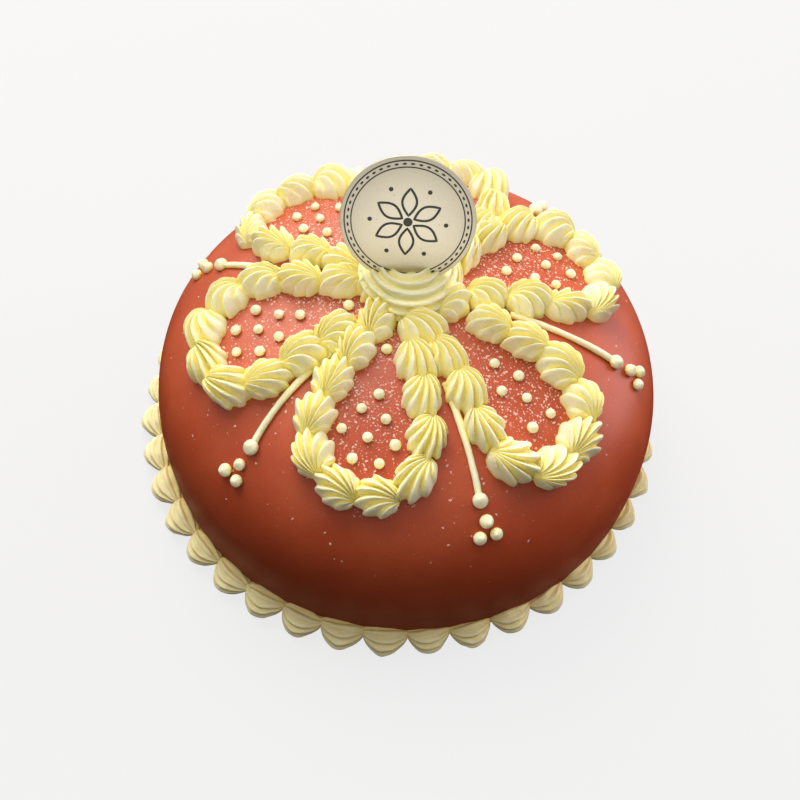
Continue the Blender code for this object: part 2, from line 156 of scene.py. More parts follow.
# The border's shells: usual length, width and height, then their ridges
BORDER_LENGTH = 0.0178
BORDER_WIDTH = 0.0144
BORDER_HEIGHT = 0.0092
BORDER_RIDGES = 6
BORDER_GROOVE_DEPTH = 0.24

# The rosette: the piped strand's section, its knots, turns and twist, and the mound inside it
STRAND_RADIUS = 0.0076
STRAND_RIDGES = 12
STRAND_GROOVE_DEPTH = 0.25
STRAND_KNOTS = 120
STRAND_START = math.radians(200)
STRAND_TURNS = 1.7
STRAND_TWIST = 2.6
MOUND_HALF_SIZE = (0.0118, 0.0098, 0.0076)

# Sizes of a stamen's dots, against a petal's: the one on its line's end and the three beyond
STAMEN_END_SIZE = 1.50
STAMEN_DOT_SIZE = 1.20

# Seeds of the toppings' random draws
DOTS_SEED = 21
STAMENS_SEED = 31
STAMEN_DOTS_SEED = 43
FLECKS_SEED = 57
SCATTER_SEED = 3

# The camera, from the fit to the photograph: distance and angles about the cake's axis
CAMERA_DISTANCE = 0.3762
CAMERA_ELEVATION = math.radians(58.485)
CAMERA_ROLL = math.radians(3.436)
CAMERA_PAN = math.radians(-0.339)
CAMERA_TILT = math.radians(0.362)
CAMERA_LENS = 39.19

# The floor gives light of its own, so that the backdrop is pale
FLOOR_GLOW = 7.8


def linear(red, green, blue):
    """A colour given in ordinary 0 to 255 screen values, as the linear values that shaders take."""
    shares = (red / 255, green / 255, blue / 255)
    return tuple(c / 12.92 if c <= 0.04045 else ((c + 0.055) / 1.055) ** 2.4 for c in shares)


def colour_input(name, description, default):
    return FloatVectorProperty(
        name=name, description=description, subtype="COLOR", size=3, default=default, min=0.0, max=1.0,
    )


def length_input(name, description, default):
    return FloatProperty(name=name, description=description, default=default, unit="LENGTH")


def count_input(name, description, default, least=0):
    return IntProperty(name=name, description=description, default=default, min=least)


class CakeMarzipanSettings(bpy.types.PropertyGroup):
    """Finish of the marzipan."""

    colour: colour_input("Colour", "Marzipan colour", linear(200, 90, 52))
    colour_deep: colour_input("Deep Colour", "Colour in its darker patches", linear(188, 78, 43))
    roughness: FloatProperty(
        name="Roughness", description="How matt the marzipan is", default=0.40, min=0.0, max=1.0,
    )
    unevenness: length_input("Unevenness", "Height of the slow waves in the marzipan", 0.0003)
    steps: count_input("Steps", "Faces round the dome", 256, 16)
    rings: count_input("Rings", "Faces from top to foot", 110, 8)


class CakePipingSettings(bpy.types.PropertyGroup):
    """Sizes and finish of the piped cream."""

    # Crest and groove colours are one cream lit and shaded: the groove colour is painted shade that the
    # material lays into the grooves
    colour: colour_input("Colour", "Cream colour on its crests", linear(246, 243, 211))
    groove_shade_colour: colour_input("Groove Colour", "Cream colour in its grooves", linear(246, 235, 153))
    shells: count_input("Petal Shells", "Shells in one petal", 12, 3)
    shell_length: length_input("Shell Length", "Length of one shell", 0.0178)
    shell_width: length_input("Shell Width", "Width of one shell", 0.0141)
    shell_height: length_input("Shell Height", "Height of one shell", 0.0092)
    ridges: count_input("Ridges", "Ridges across one shell", 9, 3)
    groove_depth: FloatProperty(
        name="Groove Depth", description="Groove depth as a share of the height", default=0.42,
    )
    border_shells: count_input("Border Shells", "Shells round the foot", 40, 4)
    border_radius: length_input("Border Radius", "Radius of the border's middle", 0.1014)
    seed: count_input("Seed", "Seed of every random size", 7)


class CakeToppingSettings(bpy.types.PropertyGroup):
    """Sizes of the sugar dots, stamens and sugar dust."""

    dot_radius: length_input("Dot Radius", "Radius of a sugar dot", 0.0019)
    dot_height: length_input("Dot Height", "Height of a sugar dot", 0.0027)
    stamen_radius: length_input("Stamen Radius", "Radius of a stamen's line", 0.0012)
    dust_density: FloatProperty(
        name="Dust Density", description="Flecks of sugar on a square metre at most", default=1500000.0,
    )
    dust_size: length_input("Dust Size", "Length of an ordinary fleck", 0.00062)


class CakePlaqueSettings(bpy.types.PropertyGroup):
    """Size and finish of the plaque."""

    diameter: length_input("Diameter", "Diameter of the disc", 0.0466)
    thickness: length_input("Thickness", "Thickness of the disc", 0.0010)
    colour: colour_input("Colour", "Colour of the disc", linear(222, 214, 190))


class CakeStageSettings(bpy.types.PropertyGroup):
    """The floor and the light."""

    floor_colour: colour_input("Floor Colour", "Colour of the floor", (0.10, 0.10, 0.10))
    key_power: FloatProperty(
        name="Key Power", description="Power of the large soft light behind", default=9.0, unit="POWER",
    )


class CakeSettings(bpy.types.PropertyGroup):
    """Everything that a user would change."""

    marzipan: PointerProperty(type=CakeMarzipanSettings)
    piping: PointerProperty(type=CakePipingSettings)
    topping: PointerProperty(type=CakeToppingSettings)
    plaque: PointerProperty(type=CakePlaqueSettings)
    stage: PointerProperty(type=CakeStageSettings)


# Places on the cake


def surface_height(radius):
    """Height of the marzipan surface at a distance from the cake's axis."""
    share = min(radius / CAKE_RADIUS, 1.0)
    return CAKE_HEIGHT * (1.0 - share**PROFILE_SIDE_POWER) ** (1.0 / PROFILE_TOP_POWER)


def cake_point(x, y):
    """A point on the marzipan and the outward normal there, from a plan position about the axis."""
    radius = math.hypot(x, y)
    height = surface_height(radius)
    side = PROFILE_SIDE_POWER * (radius / CAKE_RADIUS) ** (PROFILE_SIDE_POWER - 1) / CAKE_RADIUS
    top = PROFILE_TOP_POWER * (height / CAKE_HEIGHT) ** (PROFILE_TOP_POWER - 1) / CAKE_HEIGHT
    share = side / max(radius, 1e-9)
    normal = Vector((x * share, y * share, top)).normalized()
    return CAKE_AXIS + Vector((x, y, height)), normal


def polar(radius, azimuth):
    """Plan position about the cake's axis, from a radius and an azimuth in degrees."""
    angle = math.radians(azimuth)
    return radius * math.cos(angle), radius * math.sin(angle)


def frame_at(point, normal, travel):
    """A matrix whose X runs along the travel direction and whose Z is the normal."""
    z_axis = normal.normalized()
    y_axis = z_axis.cross(travel).normalized()
    x_axis = y_axis.cross(z_axis)
    turn = Matrix((x_axis, y_axis, z_axis)).transposed()
    return Matrix.Translation(point) @ turn.to_4x4()


def petal_share(petal, radius):
    """How far along a petal a radius lies, from 0 at its start to 1 at its tip."""
    reach = PETALS[petal][2]
    return min(max((radius - PETAL_START) / (reach - PETAL_START), 0.0), 1.0)


def petal_azimuth(petal, share):
    """Azimuth of the petal's middle line in degrees, which bends on the way in."""
    azimuth, bend = PETALS[petal][:2]
    return azimuth + bend * (1.0 - share)


def petal_sides(petal, share):
    """How far the loop's clockwise and anticlockwise sides lie from the middle line."""
    half_clockwise, half_anticlockwise = PETALS[petal][3:]
    taper = PETAL_TAPER / PETAL_WIDEST - PETAL_TAPER
    widest = PETAL_WIDEST**PETAL_TAPER * (1.0 - PETAL_WIDEST) ** taper
    width = share**PETAL_TAPER * max(1.0 - share, 0.0) ** taper / widest
    mouth = PETAL_MOUTH * (1.0 - share)
    return half_clockwise * width + mouth, half_anticlockwise * width + mouth


def petal_spot(petal, out, across):
    """Plan position of a point along and across a petal."""
    turned = math.radians(petal_azimuth(petal, petal_share(petal, out)))
    x = out * math.cos(turned) - across * math.sin(turned)
    y = out * math.sin(turned) + across * math.cos(turned)
    return x, y


def petal_plan(petal, turn):
    """A plan point of the petal's loop, for a turn from 0 (start) through 1 (tip) to 2."""
    share = math.sin(turn * math.pi / 2) ** 2
    out = PETAL_START + (PETALS[petal][2] - PETAL_START) * share
    clockwise, anticlockwise = petal_sides(petal, share)
    return petal_spot(petal, out, -clockwise if turn < 1.0 else anticlockwise)


def even_stations(path, count, samples=400):
    """Turns at equal steps of length along a path."""
    turns = [2.0 * step / samples for step in range(samples + 1)]
    points = [path(turn) for turn in turns]
    lengths = [0.0]
    for (x0, y0), (x1, y1) in zip(points, points[1:]):
        lengths.append(lengths[-1] + math.hypot(x1 - x0, y1 - y0))
    found = []
    step = 0
    for index in range(count):
        wanted = lengths[-1] * index / (count - 1)
        while step < samples and lengths[step] < wanted:
            step += 1
        found.append(turns[step])
    return found


def petal_dot_plans(petal):
    """Plan positions of a petal's dots: a staggered grid inside its loop, set down one by one."""
    draw = random.Random(f"{petal} dots")
    plans = []
    row = 0
    out = DOT_FIRST
    while out < PETALS[petal][2] - TIP_CLEARANCE:
        clockwise, anticlockwise = petal_sides(petal, petal_share(petal, out))
        low = ROPE_CLEARANCE - clockwise
        high = anticlockwise - ROPE_CLEARANCE
        for column in range(-DOT_COLUMNS, DOT_COLUMNS + 1):
            across = (column + 0.5 * (row % 2)) * DOT_PITCH_ACROSS + (high + low) / 2
            if not low <= across <= high:
                continue
            along = out + draw.uniform(-DOT_JITTER, DOT_JITTER)
            aside = across + draw.uniform(-DOT_JITTER, DOT_JITTER)
            spot = petal_spot(petal, along, aside)
            if (Vector(spot) - ROSETTE_OFFSET.xy).length > ROSETTE_RADIUS + ROSETTE_CLEARANCE:
                plans.append(spot)
        out += DOT_PITCH_OUT
        row += 1
    return plans


def plaque_matrix():
    """The disc's place: its Z runs out of its face, and its lowest point is the foot."""
    lean = Matrix.Rotation(math.pi / 2 - PLAQUE_LEAN, 4, "X")
    spin = Matrix.Rotation(-PLAQUE_TURN, 4, "Z")
    diameter = bpy.context.scene.cake.plaque.diameter
    rise = Vector((0.0, math.sin(PLAQUE_LEAN), math.cos(PLAQUE_LEAN))) * (diameter / 2)
    return Matrix.Translation(CAKE_AXIS + PLAQUE_FOOT + rise) @ lean @ spin


# Mesh helpers


def new_object(name, data):
    obj = bpy.data.objects.new(name, data)
    bpy.context.scene.collection.objects.link(obj)
    return obj


def fix_noise():
    """Vector noise starts from the clock's time unless it is given a seed."""
    noise.seed_set(NOISE_SEED)


def mesh_from_grid(name, verts, faces):
    mesh = bpy.data.meshes.new(name)
    mesh.from_pydata([tuple(v) for v in verts], [], faces)
    mesh.update()
    return mesh


def mesh_of(name, bm):
    mesh = bpy.data.meshes.new(name)
    bm.to_mesh(mesh)
    bm.free()
    return mesh


def ring_faces(rings, steps):
    """Faces of a first point with rings of points round it: a fan, then a grid."""
    faces = [(0, 1 + step, 1 + (step + 1) % steps) for step in range(steps)]
    for ring in range(rings - 1):
        for step in range(steps):
            a = 1 + ring * steps + step
            b = 1 + ring * steps + (step + 1) % steps
            faces.append((a, a + steps, b + steps, b))
    return faces


def write_attribute(mesh, name, kind, values):
    """Give each point of a mesh a value or a vector."""
    attribute = mesh.attributes.new(name, kind, "POINT")
    field = "value" if kind == "FLOAT" else "vector"
    attribute.data.foreach_set(field, np.array(values, dtype=np.float32).ravel())


def merged(name, meshes):
    """One mesh of several, with doubled points merged and every face turned outwards."""
    bm = bmesh.new()
    for mesh in meshes:
        bm.from_mesh(mesh)
    bmesh.ops.remove_doubles(bm, verts=bm.verts, dist=1e-7)
    bmesh.ops.recalc_face_normals(bm, faces=bm.faces)
    return mesh_of(name, bm)


def smooth(mesh, angle):
    mesh.shade_smooth()
    mesh.set_sharp_from_angle(angle=math.radians(angle))


def spend(obj):
    """The object's mesh with its modifiers applied, in world places. The object itself goes."""
    bpy.context.view_layer.update()
    evaluated = obj.evaluated_get(bpy.context.evaluated_depsgraph_get())
    mesh = bpy.data.meshes.new_from_object(evaluated)
    mesh.transform(obj.matrix_world)
    bpy.data.objects.remove(obj, do_unlink=True)
    return mesh


def finish_piece(name, mesh, material, nodes=()):
    """Make a mesh a finished piece of the cake, in place of the solids that it stands for."""
    mesh.name = name
    mesh.materials.clear()
    mesh.materials.append(material)
    piece = new_object(name, mesh)
    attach(piece, "root")
    if nodes:
        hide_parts(*nodes)


# Node helpers


class Tree:
    """Adds nodes to a node tree and links them in one call."""

    def __init__(self, tree):
        self.tree = tree

    def fill(self, node, inputs):
        """Link the inputs that are given a socket, and set the others."""
        for key, value in inputs.items():
            if isinstance(value, bpy.types.NodeSocket):
                self.tree.links.new(value, node.inputs[key])
            else:
                node.inputs[key].default_value = value

    def add(self, kind, inputs=None, **settings):
        node = self.tree.nodes.new(kind)
        for key, value in settings.items():
            setattr(node, key, value)
        self.fill(node, inputs or {})
        return node

    def math(self, operation, *values):
        return self.add("ShaderNodeMath", dict(enumerate(values)), operation=operation).outputs[0]

    def noise(self, where, scale, detail, roughness=0.5):
        inputs = {"Vector": where, "Scale": scale, "Detail": detail, "Roughness": roughness}
        return self.add("ShaderNodeTexNoise", inputs).outputs[0]

    def bump(self, height, strength):
        inputs = {"Height": height, "Strength": strength, "Distance": BUMP_DISTANCE}
        return self.add("ShaderNodeBump", inputs).outputs[0]

    def spread(self, share, low, high):
        """A value that runs from low to high with a share."""
        return self.add("ShaderNodeMapRange", {0: share, 3: low, 4: high}).outputs[0]

    def ramp(self, share, low, high):
        """A value from 0 to 1 as the share runs from low to high."""
        inputs = {0: share, 1: low, 2: high}
        return self.add("ShaderNodeMapRange", inputs, interpolation_type="SMOOTHSTEP").outputs[0]

    def mix(self, share, first, second):
        first, second = (
            c if isinstance(c, bpy.types.NodeSocket) else (*c[:3], 1.0) for c in (first, second)
        )
        inputs = {0: share, 6: first, 7: second}
        return self.add("ShaderNodeMix", inputs, data_type="RGBA").outputs[2]

    def attribute(self, name, kind="FLOAT"):
        return self.add("GeometryNodeInputNamedAttribute", {"Name": name}, data_type=kind).outputs[0]

    def rotation(self, euler):
        return self.add("FunctionNodeEulerToRotation", {0: euler}).outputs[0]

    def children(self, collection):
        inputs = {"Collection": collection, "Separate Children": True, "Reset Children": True}
        return self.add("GeometryNodeCollectionInfo", inputs).outputs[0]

    def place(self, points, collection, rotation, scale):
        """One of the collection's children on each point, picked by the point's number."""
        inputs = {
            "Points": points,
            "Instance": self.children(collection),
            "Pick Instance": True,
            "Rotation": rotation,
            "Scale": scale,
        }
        return self.add("GeometryNodeInstanceOnPoints", inputs).outputs[0]

    def place_facing(self, points, collection, smallest, largest, seed):
        """The same, turned by the points' facing and sized by their weight and a random share."""
        size = self.add(
            "FunctionNodeRandomValue", {2: smallest, 3: largest, 8: seed}, data_type="FLOAT"
        )
        scale = self.math("MULTIPLY", size.outputs[1], self.attribute("weight"))
        turn = self.rotation(self.attribute("facing", "FLOAT_VECTOR"))
        return self.place(points, collection, turn, scale)

    def finish(self, geometry, material):
        """End a geometry tree: realize the instances, give them their material, hand them out."""
        real = self.add("GeometryNodeRealizeInstances", {0: geometry}).outputs[0]
        dressed = self.add("GeometryNodeSetMaterial", {"Geometry": real, "Material": material})
        self.add("NodeGroupOutput", {0: dressed.outputs[0]})
        return self.tree


def node_group(name, inputs):
    """A Geometry Nodes tree with named inputs of the given kinds, and the sockets they come by."""
    group = bpy.data.node_groups.new(name, "GeometryNodeTree")
    for label, kind in {"Geometry": "Geometry", **inputs}.items():
        group.interface.new_socket(name=label, in_out="INPUT", socket_type=f"NodeSocket{kind}")
    group.interface.new_socket(name="Geometry", in_out="OUTPUT", socket_type="NodeSocketGeometry")
    tree = Tree(group)
    return tree, tree.add("NodeGroupInput").outputs


def run_nodes(name, data, group, values):
    """The plain mesh that a Geometry Nodes tree makes. Inputs are set by their identifiers."""
    carrier = new_object(name, data)
    nodes = carrier.modifiers.new(name, "NODES")
    nodes.node_group = group
    for item in group.interface.items_tree:
        if item.item_type == "SOCKET" and item.in_out == "INPUT" and item.name in values:
            nodes[item.identifier] = values[item.name]
    return spend(carrier)


def new_material(name):
    """A material, the tools to fill it in, its Principled shader and the object's coordinates."""
    material = bpy.data.materials.new(name)
    material.use_nodes = True
    tree = Tree(material.node_tree)
    shader = material.node_tree.nodes["Principled BSDF"]
    return material, tree, shader, tree.add("ShaderNodeTexCoord").outputs["Object"]


def run_on_places(name, places, group, values):
    """What a tree makes of loose points, each at a place, which is a matrix and a size."""
    mesh = bpy.data.meshes.new(name)
    mesh.from_pydata([tuple(matrix.translation) for matrix, _ in places], [], [])
    turns = [tuple(matrix.to_euler("XYZ")) for matrix, _ in places]
    write_attribute(mesh, "facing", "FLOAT_VECTOR", turns)
    write_attribute(mesh, "weight", "FLOAT", [size for _, size in places])
    return run_nodes(f"{name} points", mesh, group, values)


def template_collection(name, meshes):
    """A collection of template shapes, kept out of the scene."""
    collection = bpy.data.collections.new(name)
    for index, mesh in enumerate(meshes):
        collection.objects.link(bpy.data.objects.new(f"{name} {index}", mesh))
    return collection


def discard(collection):
    for obj in list(collection.objects):
        bpy.data.objects.remove(obj, do_unlink=True)
    bpy.data.collections.remove(collection)


# Materials


def marzipan_material():
    """Satin marzipan: slow colour patches, a faint skin texture, a dusting of icing sugar and painted
    shade that darkens it towards its foot.
    """
    settings = bpy.context.scene.cake.marzipan
    material, tree, shader, where = new_material("marzipan")
    patches = tree.ramp(tree.noise(where, 38.0, 4.0), 0.35, 0.68)
    colour = tree.mix(patches, settings.colour_deep, settings.colour)
    grain = tree.ramp(tree.noise(where, 1400.0, 3.0), 0.30, 0.75)
    colour = tree.mix(grain, tree.mix(0.10, colour, (0.10, 0.02, 0.01)), colour)
    level = tree.add("ShaderNodeSeparateXYZ", {0: where}).outputs["Z"]
    # Painted shade: over its lowest 26 mm the marzipan darkens to half its deep colour
    foot = tuple(0.5 * c for c in settings.colour_deep)
    colour = tree.mix(tree.ramp(level, 0.0, 0.026), foot, colour)
    dust = tree.add("ShaderNodeAttribute", attribute_name="dust").outputs["Fac"]
    speck = tree.noise(where, 1150.0, 5.0, 0.65)
    over = tree.math("SUBTRACT", speck, tree.math("MULTIPLY_ADD", dust, -0.08, 0.75))
    sugar = tree.ramp(over, 0.0, 0.07)
    satin = tree.add(
        "ShaderNodeMapRange", {0: level, 1: 0.0, 2: 0.034, 3: 0.85, 4: settings.roughness}
    )
    tree.fill(shader, {
        "Base Color": tree.mix(sugar, colour, linear(232, 190, 176)),
        "Roughness": tree.spread(sugar, satin.outputs[0], 0.9),
        "Normal": tree.bump(tree.noise(where, 420.0, 4.0), 0.12),
        "Specular IOR Level": 0.38,
        "Subsurface Weight": 0.08,
        "Subsurface Radius": (1.0, 0.35, 0.2),
        "Subsurface Scale": 0.002,
    })
    return material


def cream_material(name, crest, groove):
    """Buttercream: pale on its crests, with painted shade that turns it golden in its grooves, fine pores
    and soft depth.
    """
    material, tree, shader, where = new_material(name)
    # Painted shade: an occlusion mask that turns the cream to the golden groove colour in its grooves and
    # hollows
    groove_shade_mask = tree.add("ShaderNodeAmbientOcclusion", {"Distance": GROOVE_SHADE_REACH}, samples=6)
    cloud = tree.ramp(tree.noise(where, 160.0, 4.0), 0.35, 0.7)
    crest_colour = tree.mix(cloud, tuple(0.93 * c for c in crest), crest)
    pores = tree.noise(where, 1500.0, 6.0)
    tree.fill(shader, {
        "Base Color": tree.mix(tree.ramp(groove_shade_mask.outputs["AO"], 0.50, 1.0), groove, crest_colour),
        "Roughness": tree.spread(pores, 0.42, 0.66),
        "Normal": tree.bump(tree.math("ADD", pores, tree.noise(where, 480.0, 3.0)), 0.55),
        "Specular IOR Level": 0.16,
        "Subsurface Weight": 0.22,
        "Subsurface Radius": (1.0, 0.75, 0.35),
        "Subsurface Scale": 0.0022,
    })
    return material


def shared_cream():
    """The flower's cream, made once."""
    settings = bpy.context.scene.cake.piping
    found = bpy.data.materials.get("piped cream")
    return found or cream_material("piped cream", settings.colour, settings.groove_shade_colour)


def dust_material():
    """Grains of icing sugar, slightly tinted by the marzipan under them."""
    material, tree, shader, where = new_material("icing sugar")
    share = tree.ramp(tree.noise(where, 900.0, 2.0), 0.35, 0.65)
    tree.fill(shader, {
        "Base Color": tree.mix(share, linear(222, 168, 152), linear(244, 214, 200)),
        "Roughness": 0.9,
        "Subsurface Weight": 0.2,
        "Subsurface Scale": 0.0005,
    })
    return material


def plaque_material():
    """Satin card with a silvery, faintly flecked coat."""
    material, tree, shader, where = new_material("plaque card")
    base = tuple(bpy.context.scene.cake.plaque.colour)
    fleck = tree.noise(where, 3200.0, 2.0)
    haze = tree.ramp(tree.noise(where, 60.0, 3.0), 0.3, 0.75)
    light = tree.mix(tree.ramp(fleck, 0.35, 0.7), tuple(0.88 * c for c in base), base)
    tree.fill(shader, {
        "Base Color": tree.mix(haze, light, tuple(0.95 * c for c in base)),
        "Roughness": tree.spread(fleck, 0.26, 0.44),
        "Metallic": 0.40,
        "Specular IOR Level": 0.5,
    })
    return material


def ink_material():
    """Dark printing ink with a little wear."""
    material, tree, shader, where = new_material("plaque ink")
    share = tree.ramp(tree.noise(where, 2500.0, 2.0), 0.35, 0.75)
    colour = tree.mix(share, linear(28, 26, 24), linear(52, 49, 46))
    tree.fill(shader, {"Base Color": colour, "Roughness": 0.45})
    return material


# Marzipan


def dust_amount(x, y):
    """How much icing sugar lies at a plan position: most inside the petals, near the middle."""
    radius = math.hypot(x, y)
    best = 0.0
    for petal in PETALS:
        share = petal_share(petal, radius)
        turned = math.radians(petal_azimuth(petal, share))
        out = x * math.cos(turned) + y * math.sin(turned)
        across = -x * math.sin(turned) + y * math.cos(turned)
        if out < PETAL_START or not 0.0 < share < 1.0:
            continue
        clockwise, anticlockwise = petal_sides(petal, share)
        inside = 1.0 - abs(across) / (anticlockwise if across > 0.0 else clockwise)
        if inside > 0.0:
            best = max(best, min(inside * 3.0, 1.0) * (1.0 - 0.72 * share**1.6))
    cloud = noise.noise(Vector((x, y, 0.0)) * 110.0) * 0.5 + 0.5
    patch = noise.noise(Vector((x, y, 0.02)) * 45.0) * 0.5 + 0.5
    stray = 0.07 * max(0.0, 1.0 - abs(radius - 0.058) / 0.040)
    return max(best * (0.35 + 0.9 * cloud * patch * 2.0), stray * cloud)


def marzipan_mesh():
    """The dome as a fine closed grid with slow hand-made waves and a dust attribute."""
    settings = bpy.context.scene.cake.marzipan
    steps = settings.steps
    rings = settings.rings
    verts = [(CAKE_AXIS.x, CAKE_AXIS.y, CAKE_HEIGHT)]
    for ring in range(1, rings + 1):
        angle = math.pi / 2 * (1 - ring / rings)
        radius = CAKE_RADIUS * math.cos(angle) ** (2 / PROFILE_SIDE_POWER)
        height = CAKE_HEIGHT * math.sin(angle) ** (2 / PROFILE_TOP_POWER)
        for step in range(steps):
            turn = 2 * math.pi * step / steps
            x = radius * math.cos(turn)
            y = radius * math.sin(turn)
            wave = noise.noise(Vector((x, y, height)) * 26.0) - 0.6
            edge = min(1.0, (CAKE_RADIUS - radius) / 0.004 + 0.15)
            shift = wave * settings.unevenness * edge
            normal = cake_point(x, y)[1]
            foot = min(height / 0.004, 1.0)
            verts.append((
                CAKE_AXIS.x + x + normal.x * shift,
                CAKE_AXIS.y + y + normal.y * shift,
                height + normal.z * shift * foot,
            ))
    faces = ring_faces(rings, steps)
    faces.append(tuple(1 + (rings - 1) * steps + step for step in reversed(range(steps))))
    mesh = merged("marzipan", [mesh_from_grid("marzipan grid", verts, faces)])
    amounts = [dust_amount(v.co.x - CAKE_AXIS.x, v.co.y - CAKE_AXIS.y) for v in mesh.vertices]
    write_attribute(mesh, "dust", "FLOAT", amounts)
    smooth(mesh, 50)
    return mesh


# Piped shells


def groove_share(phase, narrowness):
    """How deep a groove is, from 0 on a crest at each whole phase to 1 between two crests."""
    return (math.sin(math.pi * phase) ** 2) ** narrowness


def shell_mesh(draw, length, width, height, ridges, groove_depth):
    """One piped shell: a fan of ridges that opens backwards from the tail, at +X, over a bulb.

    Each ray from the tail point runs over the bulb and down to the jagged rim. Ridges are round
    and grooves are narrow, as a closed star nozzle leaves them.
    """
    columns = ridges * POINTS_PER_RIDGE
    rows = 20
    spread = math.radians(83)
    twist = draw.choice((-1, 1)) * draw.uniform(0.20, 0.60)
    tip_lengths = [draw.uniform(0.93, 1.07) for _ in range(ridges + 1)]
    offset = Vector([draw.uniform(0, 50) for _ in range(3)])
    tail = Vector((length * 0.52, 0.0, 0.0))
    verts = [(tail.x, tail.y, height * 0.10)]
    for row in range(1, rows + 1):
        share = math.sin(row / rows * math.pi / 2) ** 1.05
        for column in range(columns + 1):
            phase = column / POINTS_PER_RIDGE
            groove = groove_share(phase, 1.3)
            angle = spread * (2 * column / columns - 1)
            bent = angle + twist * (1 - share) * math.cos(angle)
            tip = tip_lengths[round(phase)]
            reach = length * math.cos(angle) ** 0.80
            reach *= (1 - 0.11 * groove * share) * (1 + (tip - 1) * (1 - groove))
            rise = height * math.cos(angle) ** 0.62 * (4 * share**1.2 * (1 - share**1.2)) ** 0.5
            rise *= 1 - groove_depth * (0.25 + 0.75 * share**0.6) * groove
            x = tail.x - reach * share * math.cos(bent)
            y = tail.y + reach * share * math.sin(bent) * width / length * 0.96
            z = max(rise, 0.0) + height * 0.10 * (1 - share) ** 2
            wobble = noise.noise_vector(Vector((x, y, z)) * 200.0 + offset) * 0.00042 * share
            verts.append((x + wobble.x, y + wobble.y, z + wobble.z * (1 - share**6)))
    stride = columns + 1
    faces = [(0, 1 + column + 1, 1 + column) for column in range(columns)]
    for row in range(rows - 1):
        for column in range(columns):
            a = 1 + row * stride + column
            faces.append((a, a + 1, a + 1 + stride, a + stride))
    rim = [0]
    rim += [1 + row * stride for row in range(rows)]
    rim += [1 + (rows - 1) * stride + column for column in range(1, columns + 1)]
    rim += [1 + row * stride + columns for row in range(rows - 2, -1, -1)]
    base = len(verts)
    verts += [(verts[index][0] * 0.97, verts[index][1] * 0.97, -SHELL_SINK) for index in rim]
    count = len(rim)
    for index in range(count):
        following = (index + 1) % count
        faces.append((rim[index], rim[following], base + following, base + index))
    centre = len(verts)
    verts.append((0.0, 0.0, -SHELL_SINK))
    faces += [(base + index, base + (index + 1) % count, centre) for index in range(count)]
    return merged("shell", [mesh_from_grid("shell grid", verts, faces)])


def border_shell_mesh(draw, length, width, height):
    """One border shell: ridges that run along it from end to end, stacked from its foot to its top."""
    columns = BORDER_RIDGES * 2 * POINTS_PER_RIDGE
    rows = 22
    offset = Vector([draw.uniform(0, 50) for _ in range(3)])
    twist = draw.uniform(-0.2, 0.2)
    verts = [(-length * 0.47, width * 0.16, height * 0.60)]
    for row in range(1, rows):
        along = (1 - math.cos(math.pi * row / rows)) / 2
        girth = max(math.sin(math.pi * along**0.90), 0.0) ** 0.62
        for column in range(columns):
            phase = column / POINTS_PER_RIDGE
            groove = groove_share(phase, 1.2)
            turn = math.pi * phase / BORDER_RIDGES + twist * (along - 0.4)
            size = girth * (1 - BORDER_GROOVE_DEPTH * groove * min(1.0, 3 * girth - 0.6))
            x = length * (along - 0.47)
            y = width / 2 * size * math.sin(turn) + width * 0.16 * (1 - girth)
            z = height * (0.46 + 0.54 * size * math.cos(turn) + 0.14 * (1 - girth))
            wobble = noise.noise_vector(Vector((x, y, z)) * 240.0 + offset) * 0.00045 * girth
            verts.append((x + wobble.x, y + wobble.y, z + wobble.z))
    last = len(verts)
    verts.append((length * 0.53, width * 0.16, height * 0.60))
    rings = ring_faces(rows - 1, columns)
    faces = [tuple(face[:1] + face[:0:-1]) for face in rings]
    start = 1 + (rows - 2) * columns
    faces += [(last, start + column, start + (column + 1) % columns) for column in range(columns)]
    return merged("border shell", [mesh_from_grid("border shell grid", verts, faces)])


def rope_tree():
    """A Geometry Nodes tree that sets shells on the points of a path and joins them into one body."""
    tree, source = node_group("Shell Rope", {
        "Shells": "Collection",
        "Smallest": "Float",
        "Largest": "Float",
        "Seed": "Int",
        "Cream": "Material",
    })
    placed = tree.place_facing(
        source["Geometry"], source["Shells"], source["Smallest"], source["Largest"], source["Seed"]
    )
    joined = tree.add("GeometryNodeMeshBoolean", {1: placed}, operation="UNION", solver="MANIFOLD")
    return tree.finish(joined.outputs[0], source["Cream"])


def pipe_rope(name, places, shells, largest, seed, material):
    """A plain mesh of shells set at each place, which is a matrix and a size."""
    group = bpy.data.node_groups.get("Shell Rope") or rope_tree()
    return run_on_places(name, places, group, {
        "Shells": shells,
        "Smallest": SMALLEST_SHELL,
        "Largest": largest,
        "Seed": seed,
        "Cream": material,
    })


def petal_places(petal, count):
    """Where each of a petal's shells sits, which way it faces, and its size."""
    draw = random.Random(petal)
    clockwise = petal in CLOCKWISE_PETALS

    def path(turn):
        return petal_plan(petal, 2.0 - turn if clockwise else turn)

    places = []
    stations = even_stations(path, count)
    for turn in stations[1:] if clockwise else stations[:-1]:
        x, y = path(turn)
        ahead_x, ahead_y = path(min(turn + 0.02, 2.0))
        behind_x, behind_y = path(max(turn - 0.02, 0.0))
        point, normal = cake_point(x, y)
        travel = Vector((ahead_x - behind_x, ahead_y - behind_y, 0.0))
        travel.rotate(Matrix.Rotation(math.radians(draw.uniform(-14, 14)), 3, "Z"))
        size = draw.uniform(0.95, 1.05)
        places.append((frame_at(point, normal, travel), size))
    return places


class CAKE_OT_marzipan(bpy.types.Operator):
    """Make the smooth marzipan dome"""

    bl_idname = "cake.marzipan"
    bl_label = "Marzipan Dome"

    def execute(self, context):
        finish_piece("marzipan_dome", marzipan_mesh(), marzipan_material(), ("cake",))
        return {"FINISHED"}


